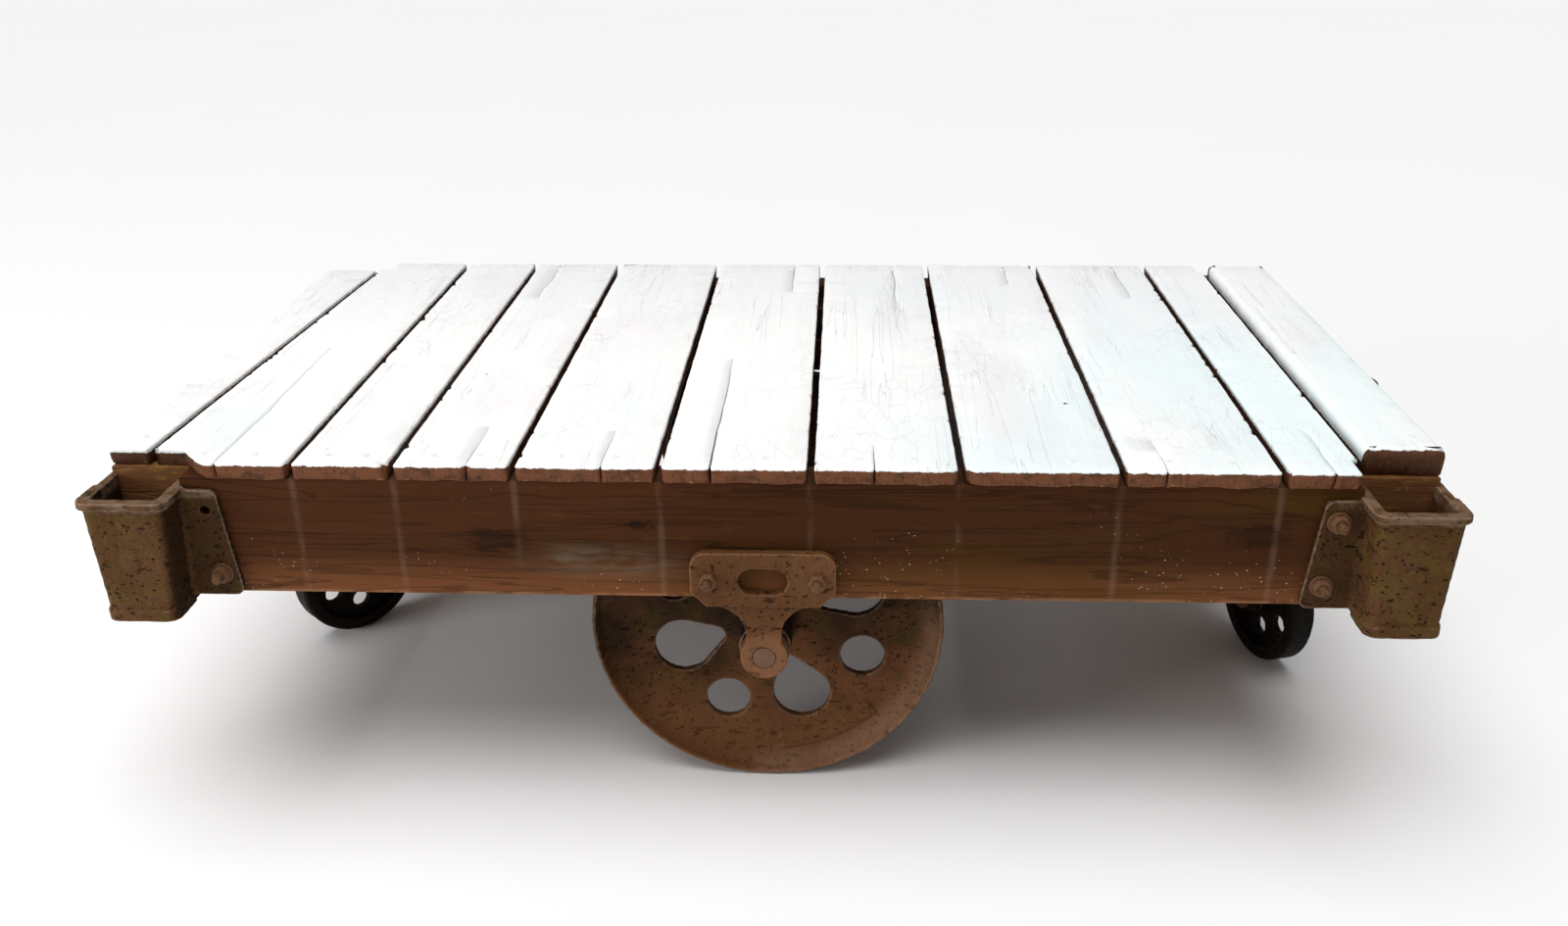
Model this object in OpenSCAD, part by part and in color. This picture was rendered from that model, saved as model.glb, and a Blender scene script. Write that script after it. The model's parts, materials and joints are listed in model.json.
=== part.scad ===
// Platform truck: a planked timber deck on two large cast wheels and two swivel casters.
// Millimetres. Z = 0 is the floor, X runs along the deck and Y across it. The origin lies
// under the middle of the deck. Front is -Y, rear is +Y, left is -X, right is +X.

/* [Deck] */
// Length of the planked deck along X
deck_length = 1247; // [1050:1:1500]
// Width of the deck over the plank ends, along Y
deck_width = 680; // [570:1:820]
// Thickness of the ordinary planks
plank_t = 17; // [14:1:24]
// Open gap between neighbouring planks
plank_gap = 5; // [2:0.5:8]
// Thickness of the raised plank at the right end
raised_plank_t = 27; // [20:1:34]
// Rounding of the raised plank's two top edges
raised_plank_round = 8; // [3:0.5:10]
// How far the first seam drifts along X from the front to the rear
seam_skew = 30; // [0:1:34]
// Overhang of the planks past the side beams, along Y
plank_overhang = 6; // [2:1:15]
// Overhang of the deck past the beam ends, along X
end_overhang = 3.5; // [0:0.5:10]
// How far the front left corner's notch slants, along X
notch_slant = 30; // [0:1:36]

/* [Timber frame] */
// Thickness of the side beams, along Y
beam_t = 38; // [32:1:50]
// Depth of the side beams, end beams and bolsters, along Z
beam_depth = 119; // [100:1:145]
// Width of each end beam, along X
end_beam_w = 74; // [62:1:90]
// Width of each bolster, along X
bolster_w = 106; // [90:1:130]
// Width of each cross beam beside the wheels, along X
cross_beam_w = 50; // [40:1:70]
// Depth of each cross beam, along Z
cross_beam_depth = 89; // [70:1:100]
// Length of the tenons on bolsters and cross beams
tenon_len = 14; // [8:1:20]
// Thickness of the tenons, along X
tenon_t = 24; // [16:1:34]
// Rebate in the side beams' ends that lets the pockets in
rebate_depth = 24; // [16:1:28]

/* [Stake pockets] */
// Width of a pocket at its top
pocket_top_w = 79; // [70:1:95]
// Width of a pocket at its foot
pocket_foot_w = 65; // [56:1:80]
// How far a pocket stands out from the side beam
pocket_reach = 40; // [32:1:52]
// Wall of a pocket
pocket_wall = 8; // [6:0.5:10]
// Floor of a pocket
pocket_floor = 8; // [6:0.5:12]
// Distance from the beam's end to the pocket's middle
pocket_inset = 35.5; // [34:0.5:42]
// How far a pocket's foot hangs below the beam
pocket_below = 12; // [6:1:20]
// How far a pocket's rim stays below the deck planks
pocket_drop = 7; // [3:1:14]
// Height of the bead round the rim
rim_h = 8; // [5:0.5:12]
// How far the rim's bead stands out
rim_out = 4; // [2:0.5:6]
// How far the foot's bead stands out
foot_out = 2.5; // [1:0.5:5]
// Thickness of the flange on the side beam
flange_t = 6; // [4:0.5:10]
// Thickness of the flange on the end beam
side_flange_t = 8; // [5:0.5:12]
// Drain hole in the pocket's floor
drain_d = 14; // [8:1:22]

/* [Fasteners] */
// Diameter of the pocket, hanger and lug bolts
bolt_d = 8; // [7:0.5:12]
// Added diameter of a bolt's hole in metal or a through hole in timber
bolt_clear = 1; // [0.5:0.1:2]
// Width across flats of the nuts and square heads
nut_af = 14.5; // [14:0.5:19]
// Height of a nut
nut_h = 7; // [6:0.5:10]
// Diameter of a round bolt head
head_d = 18; // [16:0.5:22]
// Height of a bolt head
head_h = 5; // [4:0.5:7]
// Diameter of the washers
washer_d = 21; // [18:0.5:24]
// Thickness of the washers
washer_t = 2; // [1:0.5:3]
// Length of the screws driven into end grain and side grain
coach_screw_len = 62; // [40:1:64]
// Diameter of a nail
nail_d = 4; // [3:0.5:5]
// Diameter of a nail's head
nail_head_d = 8; // [6:0.5:10]

/* [Large wheels] */
// Diameter of the two large wheels
wheel_d = 353; // [320:1:430]
// Width of the tread
tread_w = 50; // [40:1:60]
// Distance from the plank ends to the wheel's outer face
wheel_inset = 54; // [50:1:70]
// Radial thickness of the rim
rim_t = 22; // [16:1:28]
// Thickness of the web
web_t = 10; // [8:1:14]
// How far the web lies in from the rim's outer face
web_inset = 21; // [12:1:28]
// Diameter of the hub
hub_d = 52; // [48:1:66]
// Radius of the round holes in the web
round_hole_r = 22.5; // [14:0.5:25]
// Radius at which the round holes sit
round_hole_at = 105; // [95:1:112]
// Large radius of the pear shaped holes
pear_r = 29; // [18:0.5:31]
// Radius at which the pear's large end sits
pear_at = 94; // [85:1:100]
// Small radius of the pear shaped holes
pear_tip_r = 9; // [5:0.5:12]
// Radius at which the pear's tip sits
pear_tip_at = 57; // [52:1:64]
// Number of holes of each kind
hole_count = 4; // [3:1:4]
// Angle of the first pear shaped hole
hole_phase = 21; // [0:1:90]
// Gap between the wheels' tops and the planks
wheel_top_gap = 6; // [4:1:40]

/* [Axle and hangers] */
// Diameter of the fixed axle
axle_d = 22.2; // [19:0.1:28]
// Radial running clearance between axle and bushing
axle_run = 0.08; // [0.02:0.01:0.1]
// Wall of the wheel bushing
bushing_wall = 4; // [3:0.5:6]
// Width of a hanger's plate
hanger_w = 138; // [125:1:160]
// Height of a hanger's plate
hanger_h = 57; // [48:1:70]
// Thickness of a hanger's plate
hanger_t = 10; // [8:0.5:14]
// Radius of the upper corners of a hanger's plate
hanger_round = 16; // [8:1:23]
// Width and height of the chamfers on the plate's lower corners
hanger_chamfer = 15; // [6:1:22]
// Length of the oval window in the hanger's plate
window_len = 47; // [36:1:60]
// Height of the oval window in the hanger's plate
window_h = 27; // [18:1:32]
// Distance between the hanger's two bolts
hanger_bolt_gap = 103; // [98:1:112]
// Width of the hanger's arm under its plate
arm_w = 90; // [70:1:110]
// Width of the arm's neck
neck_w = 34; // [26:1:42]
// Diameter of the boss that holds the axle
boss_d = 46; // [40:1:54]
// Diameter of the collars inboard of the wheels
collar_d = 38; // [34:1:46]
// Width of a collar
collar_w = 14; // [10:1:20]
// Diameter of a collar's set screw
set_screw_d = 6; // [4:0.5:8]

/* [Casters] */
// Diameter of a caster's wheel
caster_wheel_d = 152; // [125:1:160]
// Width of a caster's tread
caster_wheel_w = 30; // [24:1:34]
// Radius of the holes in a caster wheel's web
caster_hole_r = 10; // [6:0.5:11]
// Distance from swivel axis to wheel axle
caster_trail = 22; // [15:1:30]
// Distance from the beams' left end to the left swivel axis
caster_left_inset = 75; // [60:1:88]
// Distance from the beams' right end to the right swivel axis
caster_right_inset = 48; // [47:1:88]
// Direction in which the left caster trails
caster_left_turn = 47; // [-180:1:180]
// Direction in which the right caster trails
caster_right_turn = -74; // [-180:1:180]
// Width of the square top plate
caster_plate_w = 92; // [88:1:96]
// Thickness of the top plate
caster_plate_t = 8; // [6:0.5:12]
// Diameter of the balls in the swivel race
ball_d = 8; // [6:0.5:9]
// Number of balls in the swivel race
ball_count = 16; // [8:1:18]
// Radius of the ring of balls
ball_ring_r = 28; // [26:0.5:31]
// Diameter of the kingpin
kingpin_d = 16; // [12:0.5:20]
// Thickness of the fork's crown
crown_t = 12; // [9:0.5:16]
// Thickness of the fork's legs
leg_t = 7; // [5:0.5:10]
// Gap between the fork's legs
fork_gap = 38; // [38:0.5:44]
// Diameter of a caster's axle bolt
caster_axle_d = 12; // [10:0.5:14]

/* [Tow lugs] */
// How far a tow lug stands out from the beam's end
lug_reach = 52; // [44:1:64]
// Width of the lug's tongue
lug_w = 50; // [42:1:60]
// Thickness of the lug's tongue
lug_t = 16; // [12:1:20]
// Diameter of the hole for the tow pin
lug_hole_d = 20; // [14:1:24]
// Distance from the planks' underside to the tongue's top
lug_drop = 20; // [16:1:40]
// Width of the lug's back plate
lug_plate_w = 116; // [106:1:140]
// Thickness of the lug's back plate
lug_plate_t = 8; // [6:0.5:12]

/* [Hidden] */
$fn = 72;
eps = 1;
snug = 0.05;             // radial clearance of parts that are driven or pressed together
tenon_clear = 0.3;       // clearance all round a tenon
shoulder = 20;           // timber left above and below a tenon
pocket_clear = 0.5;      // gap between a pocket and its rebate's shoulder
notch_clear = 2;         // gap between a notch in the deck and a pocket's rim
hull_fn = 32;

// Heights
axle_z = wheel_d / 2;
plank_z = wheel_d + wheel_top_gap;
beam_z = plank_z - beam_depth;

// Half sizes of the deck and frame
deck_x = deck_length / 2;
deck_y = deck_width / 2;
beam_x = deck_x - end_overhang;
beam_y = deck_y - plank_overhang;
inner_y = beam_y - beam_t;
end_beam_x = beam_x - end_beam_w;
bolster_x = end_beam_x - bolster_w;
well_clear = 13.5;
cross_beam_x = wheel_d / 2 + well_clear;
notch_y = beam_y - rebate_depth - 3;

// Stake pocket, in the rear right corner
pocket_x = beam_x - pocket_inset;
pocket_y0 = beam_y - rebate_depth;
pocket_y1 = beam_y + pocket_reach;
pocket_z0 = beam_z - pocket_below;
pocket_z1 = plank_z - pocket_drop;
pocket_round = 9;
notch_x = pocket_x - pocket_top_w / 2 - rim_out - notch_clear;
rebate_x = pocket_x - pocket_top_w / 2 - pocket_clear;
foot_h = pocket_below;
flange_z0 = pocket_z0 + 10;
flange_z1 = pocket_z1 - 3;
flange_top_x = pocket_x - 75;
flange_foot_x = pocket_x - 85.5;
flange_round = 9;
side_flange_y = inner_y - 46;
pocket_bolts_xz = [[pocket_x - 61.5, pocket_z1 - 24], [pocket_x - 68.5, pocket_z0 + 35]];
side_bolt_y = side_flange_y + 18;
mark_d = 16;
mark_t = 1.5;

// Bolt stack on the side beams, outwards from the head
bolt_tail = 9;
pocket_head_y = inner_y + head_h;
square_head_h = 6;

// Deck boards: the pitch of each one, seam to seam, shared out over the deck's length
board_shares = [56.5, 129, 95, 113, 135, 140, 137, 145, 144, 76, 76.5];
board_count = len(board_shares);
function sum_to(list, n) = n == 0 ? 0 : list[n - 1] + sum_to(list, n - 1);
board_scale = deck_length / sum_to(board_shares, board_count);
function seam(i, y) =
    -deck_x + board_scale * sum_to(board_shares, i) + (i == 1 ? seam_skew * y / deck_width : 0);
function board_left(i, y) = seam(i, y) + (i == 0 ? 0 : plank_gap / 2);
function board_right(i, y) = seam(i + 1, y) - (i == board_count - 1 ? 0 : plank_gap / 2);
function board_mid(i) = (board_left(i, 0) + board_right(i, 0)) / 2;
function board_width(i) = board_right(i, 0) - board_left(i, 0);
notch_slant_shift = 9;

// Nails: two through each end of a board. The two end boards are nailed to the end beams.
nail_bite = 23;
nail_head_t = 1.2;
nail_fit = 0.05;
end_nail_x = deck_x - 22;
end_nail_y = inner_y - 21;
nail_spread = 0.2;
function board_nails(i) =
    i == 0 || i == board_count - 1
        ? [for (s = [-1, 1]) [(i == 0 ? -1 : 1) * end_nail_x, s * end_nail_y]]
        : [for (s = [-1, 1], k = [-1, 1])
            [board_mid(i) + k * nail_spread * board_width(i), s * (beam_y - beam_t / 2)]];
function board_top(i) = plank_z + (i == board_count - 1 ? raised_plank_t : plank_t);

// Large wheels, measured out from the middle of the cart
wheel_y1 = deck_y - wheel_inset;
wheel_y0 = wheel_y1 - tread_w;
web_y1 = wheel_y1 - web_inset;
web_y0 = web_y1 - web_t;
rim_r = wheel_d / 2 - rim_t;
boss_in = 12;
hub_gap = 1;
hub_y1 = beam_y - boss_in - hub_gap;
hub_y0 = wheel_y0 - 8;
collar_y1 = hub_y0 - hub_gap;
bushing_bore = axle_d + 2 * axle_run;
bushing_d = bushing_bore + 2 * bushing_wall;

// Hanger, on the rear side beam
hanger_z = beam_z + 22.5;
window_z = beam_z + 21;
arm_t = 7;
boss_out = arm_t;
arm_in = 10;
arm_shoulder_z = hanger_z - hanger_h / 2 - 1;
neck_z = axle_z + 25;
arm_dx = (arm_w - neck_w) / 2;
arm_dz = arm_shoulder_z - neck_z;
arm_curve_r = (arm_dx * arm_dx + arm_dz * arm_dz) / (2 * arm_dx);

// Casters, in their own frame: X is the way the wheel trails, Z = 0 is the floor
caster_axle_z = caster_wheel_d / 2;
plate_z = beam_z - caster_plate_t;
race_h = 7;
race_gap = 2;
race_play = 0.3;
race_z = plate_z - race_h;
ball_z = race_z - race_gap / 2;
crown_z1 = race_z - race_gap;
crown_z0 = crown_z1 - crown_t;
crown_r = 42;
race_r = 38;
kingpin_head_d = 28;
kingpin_head_t = 4;
kingpin_nut_af = 24;
kingpin_nut_h = 13;
kingpin_nut_gap = 0.5;
kingpin_tail = 3;
kingpin_z = crown_z0 - kingpin_nut_gap - kingpin_nut_h - kingpin_tail;
caster_rim_t = 14;
caster_web_t = 8;
caster_hub_d = 36;
caster_hub_l = fork_gap - 2;
caster_hole_at = 40;
caster_hole_count = 6;
caster_bushing_wall = 4;
caster_bushing_bore = caster_axle_d + 2 * axle_run;
caster_bushing_d = caster_bushing_bore + 2 * caster_bushing_wall;
leg_boss_r = 16;
leg_boss_out = 2;
leg_y1 = fork_gap / 2 + leg_t;
caster_nut_af = 19;
caster_nut_h = 9;
caster_screw_d = 8;
caster_screw_len = 48;
caster_screw_at = caster_plate_w / 2 - 10;
caster_left_x = -(beam_x - caster_left_inset);
caster_right_x = beam_x - caster_right_inset;

// Tow lugs, on the right end beam
lug_z1 = plank_z - lug_drop;
lug_z0 = lug_z1 - lug_t;
lug_hole_x = beam_x + lug_reach - lug_w / 2;
lug_plate_z0 = lug_z0 - 18;
lug_plate_z1 = lug_z1 + 4;
lug_bolt_y = lug_plate_w / 2 - 14;
lug_bolt_z = (lug_plate_z0 + lug_plate_z1) / 2;
lug_rib_t = 7;
lug_rib_y = lug_w / 2 - lug_rib_t;

deck_paint = [0.86, 0.86, 0.84];
timber_paint = [0.33, 0.19, 0.14];
brown_iron = [0.30, 0.22, 0.15];
hanger_iron = [0.38, 0.24, 0.17];
wheel_iron = [0.22, 0.17, 0.13];
dark_iron = [0.09, 0.09, 0.09];
steel = [0.42, 0.40, 0.37];
bronze = [0.60, 0.45, 0.25];

// ---- Helpers ----

// A flat shape drawn in X and Z, given thickness from y0 to y1
module along_y(y0, y1) {
    translate([0, y1, 0]) rotate([90, 0, 0]) linear_extrude(y1 - y0) children();
}

// A flat shape drawn in Y and Z, given thickness from x0 to x1
module along_x(x0, x1) {
    translate([x0, 0, 0]) rotate([90, 0, 90]) linear_extrude(x1 - x0) children();
}

module rod_x(x0, x1, y, z, d) {
    translate([x0, y, z]) rotate([0, 90, 0]) cylinder(d = d, h = x1 - x0);
}

module rod_y(y0, y1, x, z, d) {
    translate([x, y1, z]) rotate([90, 0, 0]) cylinder(d = d, h = y1 - y0);
}

module rod_z(z0, z1, x, y, d) {
    translate([x, y, z0]) cylinder(d = d, h = z1 - z0);
}

module hexagon(af) {
    circle(d = af / cos(30), $fn = 6);
}

module rounded_rectangle(w, h, r) {
    square([w - 2 * r, h], center = true);
    square([w, h - 2 * r], center = true);
    for (sx = [-1, 1], sy = [-1, 1]) translate([sx * (w / 2 - r), sy * (h / 2 - r)]) circle(r);
}

// Moves a shape drawn in the rear right corner to another end (-1 left) and side (-1 front)
module corner(end, side) {
    mirror([end < 0 ? 1 : 0, 0, 0]) mirror([0, side < 0 ? 1 : 0, 0]) children();
}

// ---- Deck ----

module deck_outline() {
    difference() {
        square([deck_length, deck_width], center = true);
        for (c = [[1, -1], [1, 1], [-1, 1]])
            mirror([c[0] < 0 ? 1 : 0, 0]) mirror([0, c[1] < 0 ? 1 : 0])
                translate([notch_x, notch_y]) square([deck_x, deck_y]);
        polygon([
            [-deck_x - eps, -deck_y - eps],
            [-deck_x - eps, -notch_y],
            [-notch_x - notch_slant_shift, -notch_y],
            [-notch_x - notch_slant_shift + notch_slant, -deck_y],
            [-notch_x - notch_slant_shift + notch_slant, -deck_y - eps]
        ]);
    }
}

module nail_holes(i) {
    for (p = board_nails(i)) {
        rod_z(plank_z - eps, board_top(i) + eps, p[0], p[1], nail_d + 2 * nail_fit);
        rod_z(board_top(i) - nail_head_t - nail_fit, board_top(i) + eps, p[0], p[1],
            nail_head_d + 2 * nail_fit);
    }
}

module raised_plank_profile(x0, x1) {
    w = x1 - x0;
    r = raised_plank_round;
    translate([x0, 0]) square([w, raised_plank_t - r]);
    translate([x0 + r, 0]) square([w - 2 * r, raised_plank_t]);
    for (x = [x0 + r, x1 - r]) translate([x, raised_plank_t - r]) circle(r);
}

module plank(i) {
    color(deck_paint) difference() {
        if (i == board_count - 1)
            translate([0, 0, plank_z]) along_y(-notch_y, notch_y)
                raised_plank_profile(board_left(i, 0), board_right(i, 0));
        else
            translate([0, 0, plank_z]) linear_extrude(plank_t) intersection() {
                deck_outline();
                polygon([
                    [board_left(i, -deck_y), -deck_y], [board_right(i, -deck_y), -deck_y],
                    [board_right(i, deck_y), deck_y], [board_left(i, deck_y), deck_y]
                ]);
            }
        nail_holes(i);
    }
}

module deck_nails() {
    color(steel) for (i = [0 : board_count - 1], p = board_nails(i)) {
        rod_z(plank_z - nail_bite, board_top(i), p[0], p[1], nail_d);
        rod_z(board_top(i) - nail_head_t, board_top(i), p[0], p[1], nail_head_d);
    }
}

// Holes that the nails make in the timber under the deck
module nail_pilots() {
    for (i = [0 : board_count - 1], p = board_nails(i))
        rod_z(plank_z - nail_bite - eps, plank_z + eps, p[0], p[1], nail_d + 2 * nail_fit);
}

// ---- Timber frame ----

module tenon(x0, w, depth, grow) {
    mid = x0 + w / 2;
    translate([mid - tenon_t / 2 - grow, inner_y - eps, plank_z - depth + shoulder - grow])
        cube([tenon_t + 2 * grow, tenon_len + grow + eps, depth - 2 * shoulder + 2 * grow]);
}

module side_beam(side) {
    color(timber_paint) mirror([0, side < 0 ? 1 : 0, 0]) difference() {
        translate([-beam_x, inner_y, beam_z]) cube([2 * beam_x, beam_t, beam_depth]);
        for (end = [-1, 1]) mirror([end < 0 ? 1 : 0, 0, 0]) {
            translate([rebate_x, pocket_y0, beam_z - eps])
                cube([beam_x, rebate_depth + eps, beam_depth + 2 * eps]);
            for (p = pocket_bolts_xz) {
                rod_y(inner_y - eps, beam_y + eps, p[0], p[1], bolt_d + bolt_clear);
                rod_y(inner_y - eps, pocket_head_y + 2 * snug, p[0], p[1], head_d + bolt_clear);
            }
            rod_y(inner_y - eps, beam_y + eps, hanger_bolt_gap / 2, hanger_z, bolt_d + bolt_clear);
            tenon(bolster_x, bolster_w, beam_depth, tenon_clear);
            tenon(cross_beam_x, cross_beam_w, cross_beam_depth, tenon_clear);
        }
        nail_pilots();
    }
}

module coach_screw_holes() {
    for (side = [-1, 1], p = pocket_bolts_xz)
        rod_x(beam_x + side_flange_t - coach_screw_len - eps, beam_x + eps,
            side * side_bolt_y, p[1], bolt_d + 2 * snug);
    for (side = [-1, 1])
        rod_x(beam_x + lug_plate_t - coach_screw_len - eps, beam_x + eps,
            side * lug_bolt_y, lug_bolt_z, bolt_d + 2 * snug);
}

module caster_screw_holes() {
    for (axis_x = [caster_left_x, caster_right_x], sx = [-1, 1], sy = [-1, 1])
        rod_z(plate_z, plate_z + caster_screw_len + eps, axis_x + sx * caster_screw_at,
            sy * caster_screw_at, caster_screw_d + 2 * snug);
}

module end_beam(end) {
    color(timber_paint) difference() {
        mirror([end < 0 ? 1 : 0, 0, 0]) difference() {
            translate([end_beam_x, -inner_y, beam_z]) cube([end_beam_w, 2 * inner_y, beam_depth]);
            coach_screw_holes();
        }
        caster_screw_holes();
        nail_pilots();
    }
}

module bolster(end) {
    color(timber_paint) difference() {
        mirror([end < 0 ? 1 : 0, 0, 0]) {
            translate([bolster_x, -inner_y, beam_z]) cube([bolster_w, 2 * inner_y, beam_depth]);
            for (side = [-1, 1]) mirror([0, side < 0 ? 1 : 0, 0])
                tenon(bolster_x, bolster_w, beam_depth, 0);
        }
        caster_screw_holes();
    }
}

module cross_beam(end) {
    color(timber_paint) mirror([end < 0 ? 1 : 0, 0, 0]) {
        translate([cross_beam_x, -inner_y, plank_z - cross_beam_depth])
            cube([cross_beam_w, 2 * inner_y, cross_beam_depth]);
        for (side = [-1, 1]) mirror([0, side < 0 ? 1 : 0, 0])
            tenon(cross_beam_x, cross_beam_w, cross_beam_depth, 0);
    }
}

// ---- Stake pockets ----

// One level of the pocket's tapered box, with its two outer corners rounded
module pocket_level(w, y0, y1, r, z) {
    translate([pocket_x, 0, z]) linear_extrude(0.01) {
        translate([-w / 2, y0]) square([w, y1 - y0 - r]);
        for (s = [-1, 1]) translate([s * (w / 2 - r), y1 - r]) circle(r, $fn = hull_fn);
    }
}

// The width of the pocket's body at a height
function pocket_w(z) =
    pocket_foot_w + (pocket_top_w - pocket_foot_w) * (z - pocket_z0) / (pocket_z1 - pocket_z0);

module pocket_box(inset, y0, z0, z1) {
    r = pocket_round - inset * 0.5;
    hull() {
        pocket_level(pocket_w(z0) - 2 * inset, y0, pocket_y1 - inset, r, z0);
        pocket_level(pocket_w(z1) - 2 * inset, y0, pocket_y1 - inset, r, z1 - 0.01);
    }
}

module pocket_bead(w, out, z0, h) {
    translate([pocket_x, (beam_y + pocket_y1 + out) / 2, z0]) linear_extrude(h)
        rounded_rectangle(w + 2 * out, pocket_y1 + out - beam_y, pocket_round + out);
    translate([pocket_x - w / 2 - out, beam_y, z0])
        cube([w + 2 * out, pocket_reach / 2, h]);
}

module pocket_flange() {
    along_y(beam_y, beam_y + flange_t) hull() {
        translate([flange_top_x + flange_round, flange_z1 - flange_round])
            circle(flange_round, $fn = hull_fn);
        translate([flange_foot_x + flange_round, flange_z0 + flange_round])
            circle(flange_round, $fn = hull_fn);
        translate([pocket_x - pocket_foot_w / 2 + pocket_wall / 2, flange_z0])
            square([1, flange_z1 - flange_z0]);
    }
}

module pocket_side_flange() {
    z_mid = (flange_z0 + flange_z1) / 2;
    along_x(beam_x, beam_x + side_flange_t) {
        translate([(side_flange_y + beam_y + pocket_wall) / 2, z_mid])
            rounded_rectangle(beam_y + pocket_wall - side_flange_y, flange_z1 - flange_z0, flange_round);
        translate([pocket_y0, flange_z0])
            square([beam_y + pocket_wall - pocket_y0, flange_z1 - flange_z0]);
    }
    foot_x = pocket_x + pocket_foot_w / 2 - pocket_wall;
    translate([foot_x, pocket_y0, flange_z0])
        cube([beam_x + side_flange_t - foot_x, rebate_depth + pocket_wall, flange_z1 - flange_z0]);
}

module stake_pocket(end, side) {
    color(brown_iron) corner(end, side) difference() {
        union() {
            pocket_box(0, pocket_y0, pocket_z0, pocket_z1);
            pocket_bead(pocket_top_w, rim_out, pocket_z1 - rim_h, rim_h);
            pocket_bead(pocket_foot_w, foot_out, pocket_z0, foot_h);
            pocket_flange();
            pocket_side_flange();
            rod_y(pocket_y1 - eps, pocket_y1 + mark_t, pocket_x, (pocket_z0 + pocket_z1) / 2, mark_d);
        }
        pocket_box(pocket_wall, pocket_y0 - eps, pocket_z0 + pocket_floor, pocket_z1 + 2 * eps);
        rod_z(pocket_z0 - eps, pocket_z0 + pocket_floor + eps, pocket_x,
            (pocket_y0 + pocket_y1 - pocket_wall) / 2, drain_d);
        for (p = pocket_bolts_xz) {
            rod_y(beam_y - eps, beam_y + flange_t + eps, p[0], p[1], bolt_d + bolt_clear);
            rod_x(beam_x - eps, beam_x + side_flange_t + eps, side_bolt_y, p[1], bolt_d + bolt_clear);
        }
    }
}

// The eight places of the pocket bolts, without the lost one at the front left
module at_pocket_bolts() {
    for (end = [-1, 1], side = [-1, 1], row = [0, 1])
        if (!(end < 0 && side < 0 && row == 0))
            corner(end, side)
                translate([pocket_bolts_xz[row][0], 0, pocket_bolts_xz[row][1]]) children();
}

module pocket_bolts() {
    seat_y = beam_y + flange_t;
    color(steel) at_pocket_bolts() {
        rod_y(inner_y, pocket_head_y, 0, 0, head_d);
        rod_y(inner_y, seat_y + washer_t + nut_h + bolt_tail, 0, 0, bolt_d);
    }
}

module pocket_washers() {
    seat_y = beam_y + flange_t;
    color(steel) at_pocket_bolts() difference() {
        rod_y(seat_y, seat_y + washer_t, 0, 0, washer_d);
        rod_y(seat_y - eps, seat_y + washer_t + eps, 0, 0, bolt_d + bolt_clear);
    }
}

module nut_y(y0, af, h, bore) {
    difference() {
        along_y(y0, y0 + h) hexagon(af);
        rod_y(y0 - eps, y0 + h + eps, 0, 0, bore);
    }
}

module pocket_nuts() {
    color(steel) at_pocket_bolts()
        nut_y(beam_y + flange_t + washer_t, nut_af, nut_h, bolt_d + 2 * snug);
}

// A square-headed coach screw driven along -X, its head seated at x = 0
module coach_screw() {
    rod_x(-coach_screw_len, eps, 0, 0, bolt_d);
    along_x(0, square_head_h) square(nut_af, center = true);
}

module pocket_coach_screws() {
    color(steel) for (end = [-1, 1], side = [-1, 1], p = pocket_bolts_xz)
        corner(end, side) translate([beam_x + side_flange_t, side_bolt_y, p[1]]) coach_screw();
}

// ---- Axle, hangers and collars ----

module hanger_arm(top) {
    difference() {
        translate([-arm_w / 2, axle_z]) square([arm_w, top - axle_z]);
        for (s = [-1, 1]) {
            translate([s * (neck_w / 2 + arm_curve_r), neck_z]) circle(arm_curve_r);
            translate([s > 0 ? neck_w / 2 : -neck_w / 2 - arm_w, axle_z - eps])
                square([arm_w, neck_z - axle_z + eps]);
        }
    }
}

// The plate's outline: rounded corners at the top and chamfered ones below
module hanger_outline() {
    w = hanger_w / 2;
    h = hanger_h / 2;
    polygon([
        [-w, hanger_chamfer - h], [hanger_chamfer - w, -h], [w - hanger_chamfer, -h],
        [w, hanger_chamfer - h], [w, h - hanger_round], [-w, h - hanger_round]
    ]);
    translate([hanger_round - w, 0]) square([2 * (w - hanger_round), h]);
    for (s = [-1, 1]) translate([s * (w - hanger_round), h - hanger_round]) circle(hanger_round);
}

module axle_hanger(side) {
    color(hanger_iron) mirror([0, side < 0 ? 1 : 0, 0]) difference() {
        union() {
            along_y(beam_y, beam_y + hanger_t) translate([0, hanger_z]) hanger_outline();
            along_y(beam_y, beam_y + arm_t) hanger_arm(beam_z);
            along_y(beam_y - arm_in, beam_y + arm_t) hanger_arm(beam_z - snug);
            rod_y(beam_y - boss_in, beam_y + boss_out, 0, axle_z, boss_d);
        }
        along_y(beam_y - eps, beam_y + hanger_t + eps)
            translate([0, window_z]) rounded_rectangle(window_len, window_h, window_h / 2 - 0.01);
        for (s = [-1, 1])
            rod_y(beam_y - eps, beam_y + hanger_t + eps, s * hanger_bolt_gap / 2, hanger_z,
                bolt_d + bolt_clear);
        rod_y(beam_y - boss_in - eps, beam_y + boss_out + eps, 0, axle_z, axle_d + 2 * snug);
    }
}

module at_hanger_bolts() {
    for (side = [-1, 1], s = [-1, 1])
        mirror([0, side < 0 ? 1 : 0, 0]) translate([s * hanger_bolt_gap / 2, 0, hanger_z]) children();
}

module hanger_bolts() {
    color(steel) at_hanger_bolts() {
        rod_y(inner_y - head_h, inner_y, 0, 0, head_d);
        rod_y(inner_y - eps, beam_y + hanger_t + nut_h + bolt_tail, 0, 0, bolt_d);
    }
}

module hanger_nuts() {
    color(steel) at_hanger_bolts() nut_y(beam_y + hanger_t, nut_af, nut_h, bolt_d + 2 * snug);
}

module axle() {
    color(steel) rod_y(-beam_y - boss_out, beam_y + boss_out, 0, axle_z, axle_d);
}

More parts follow.
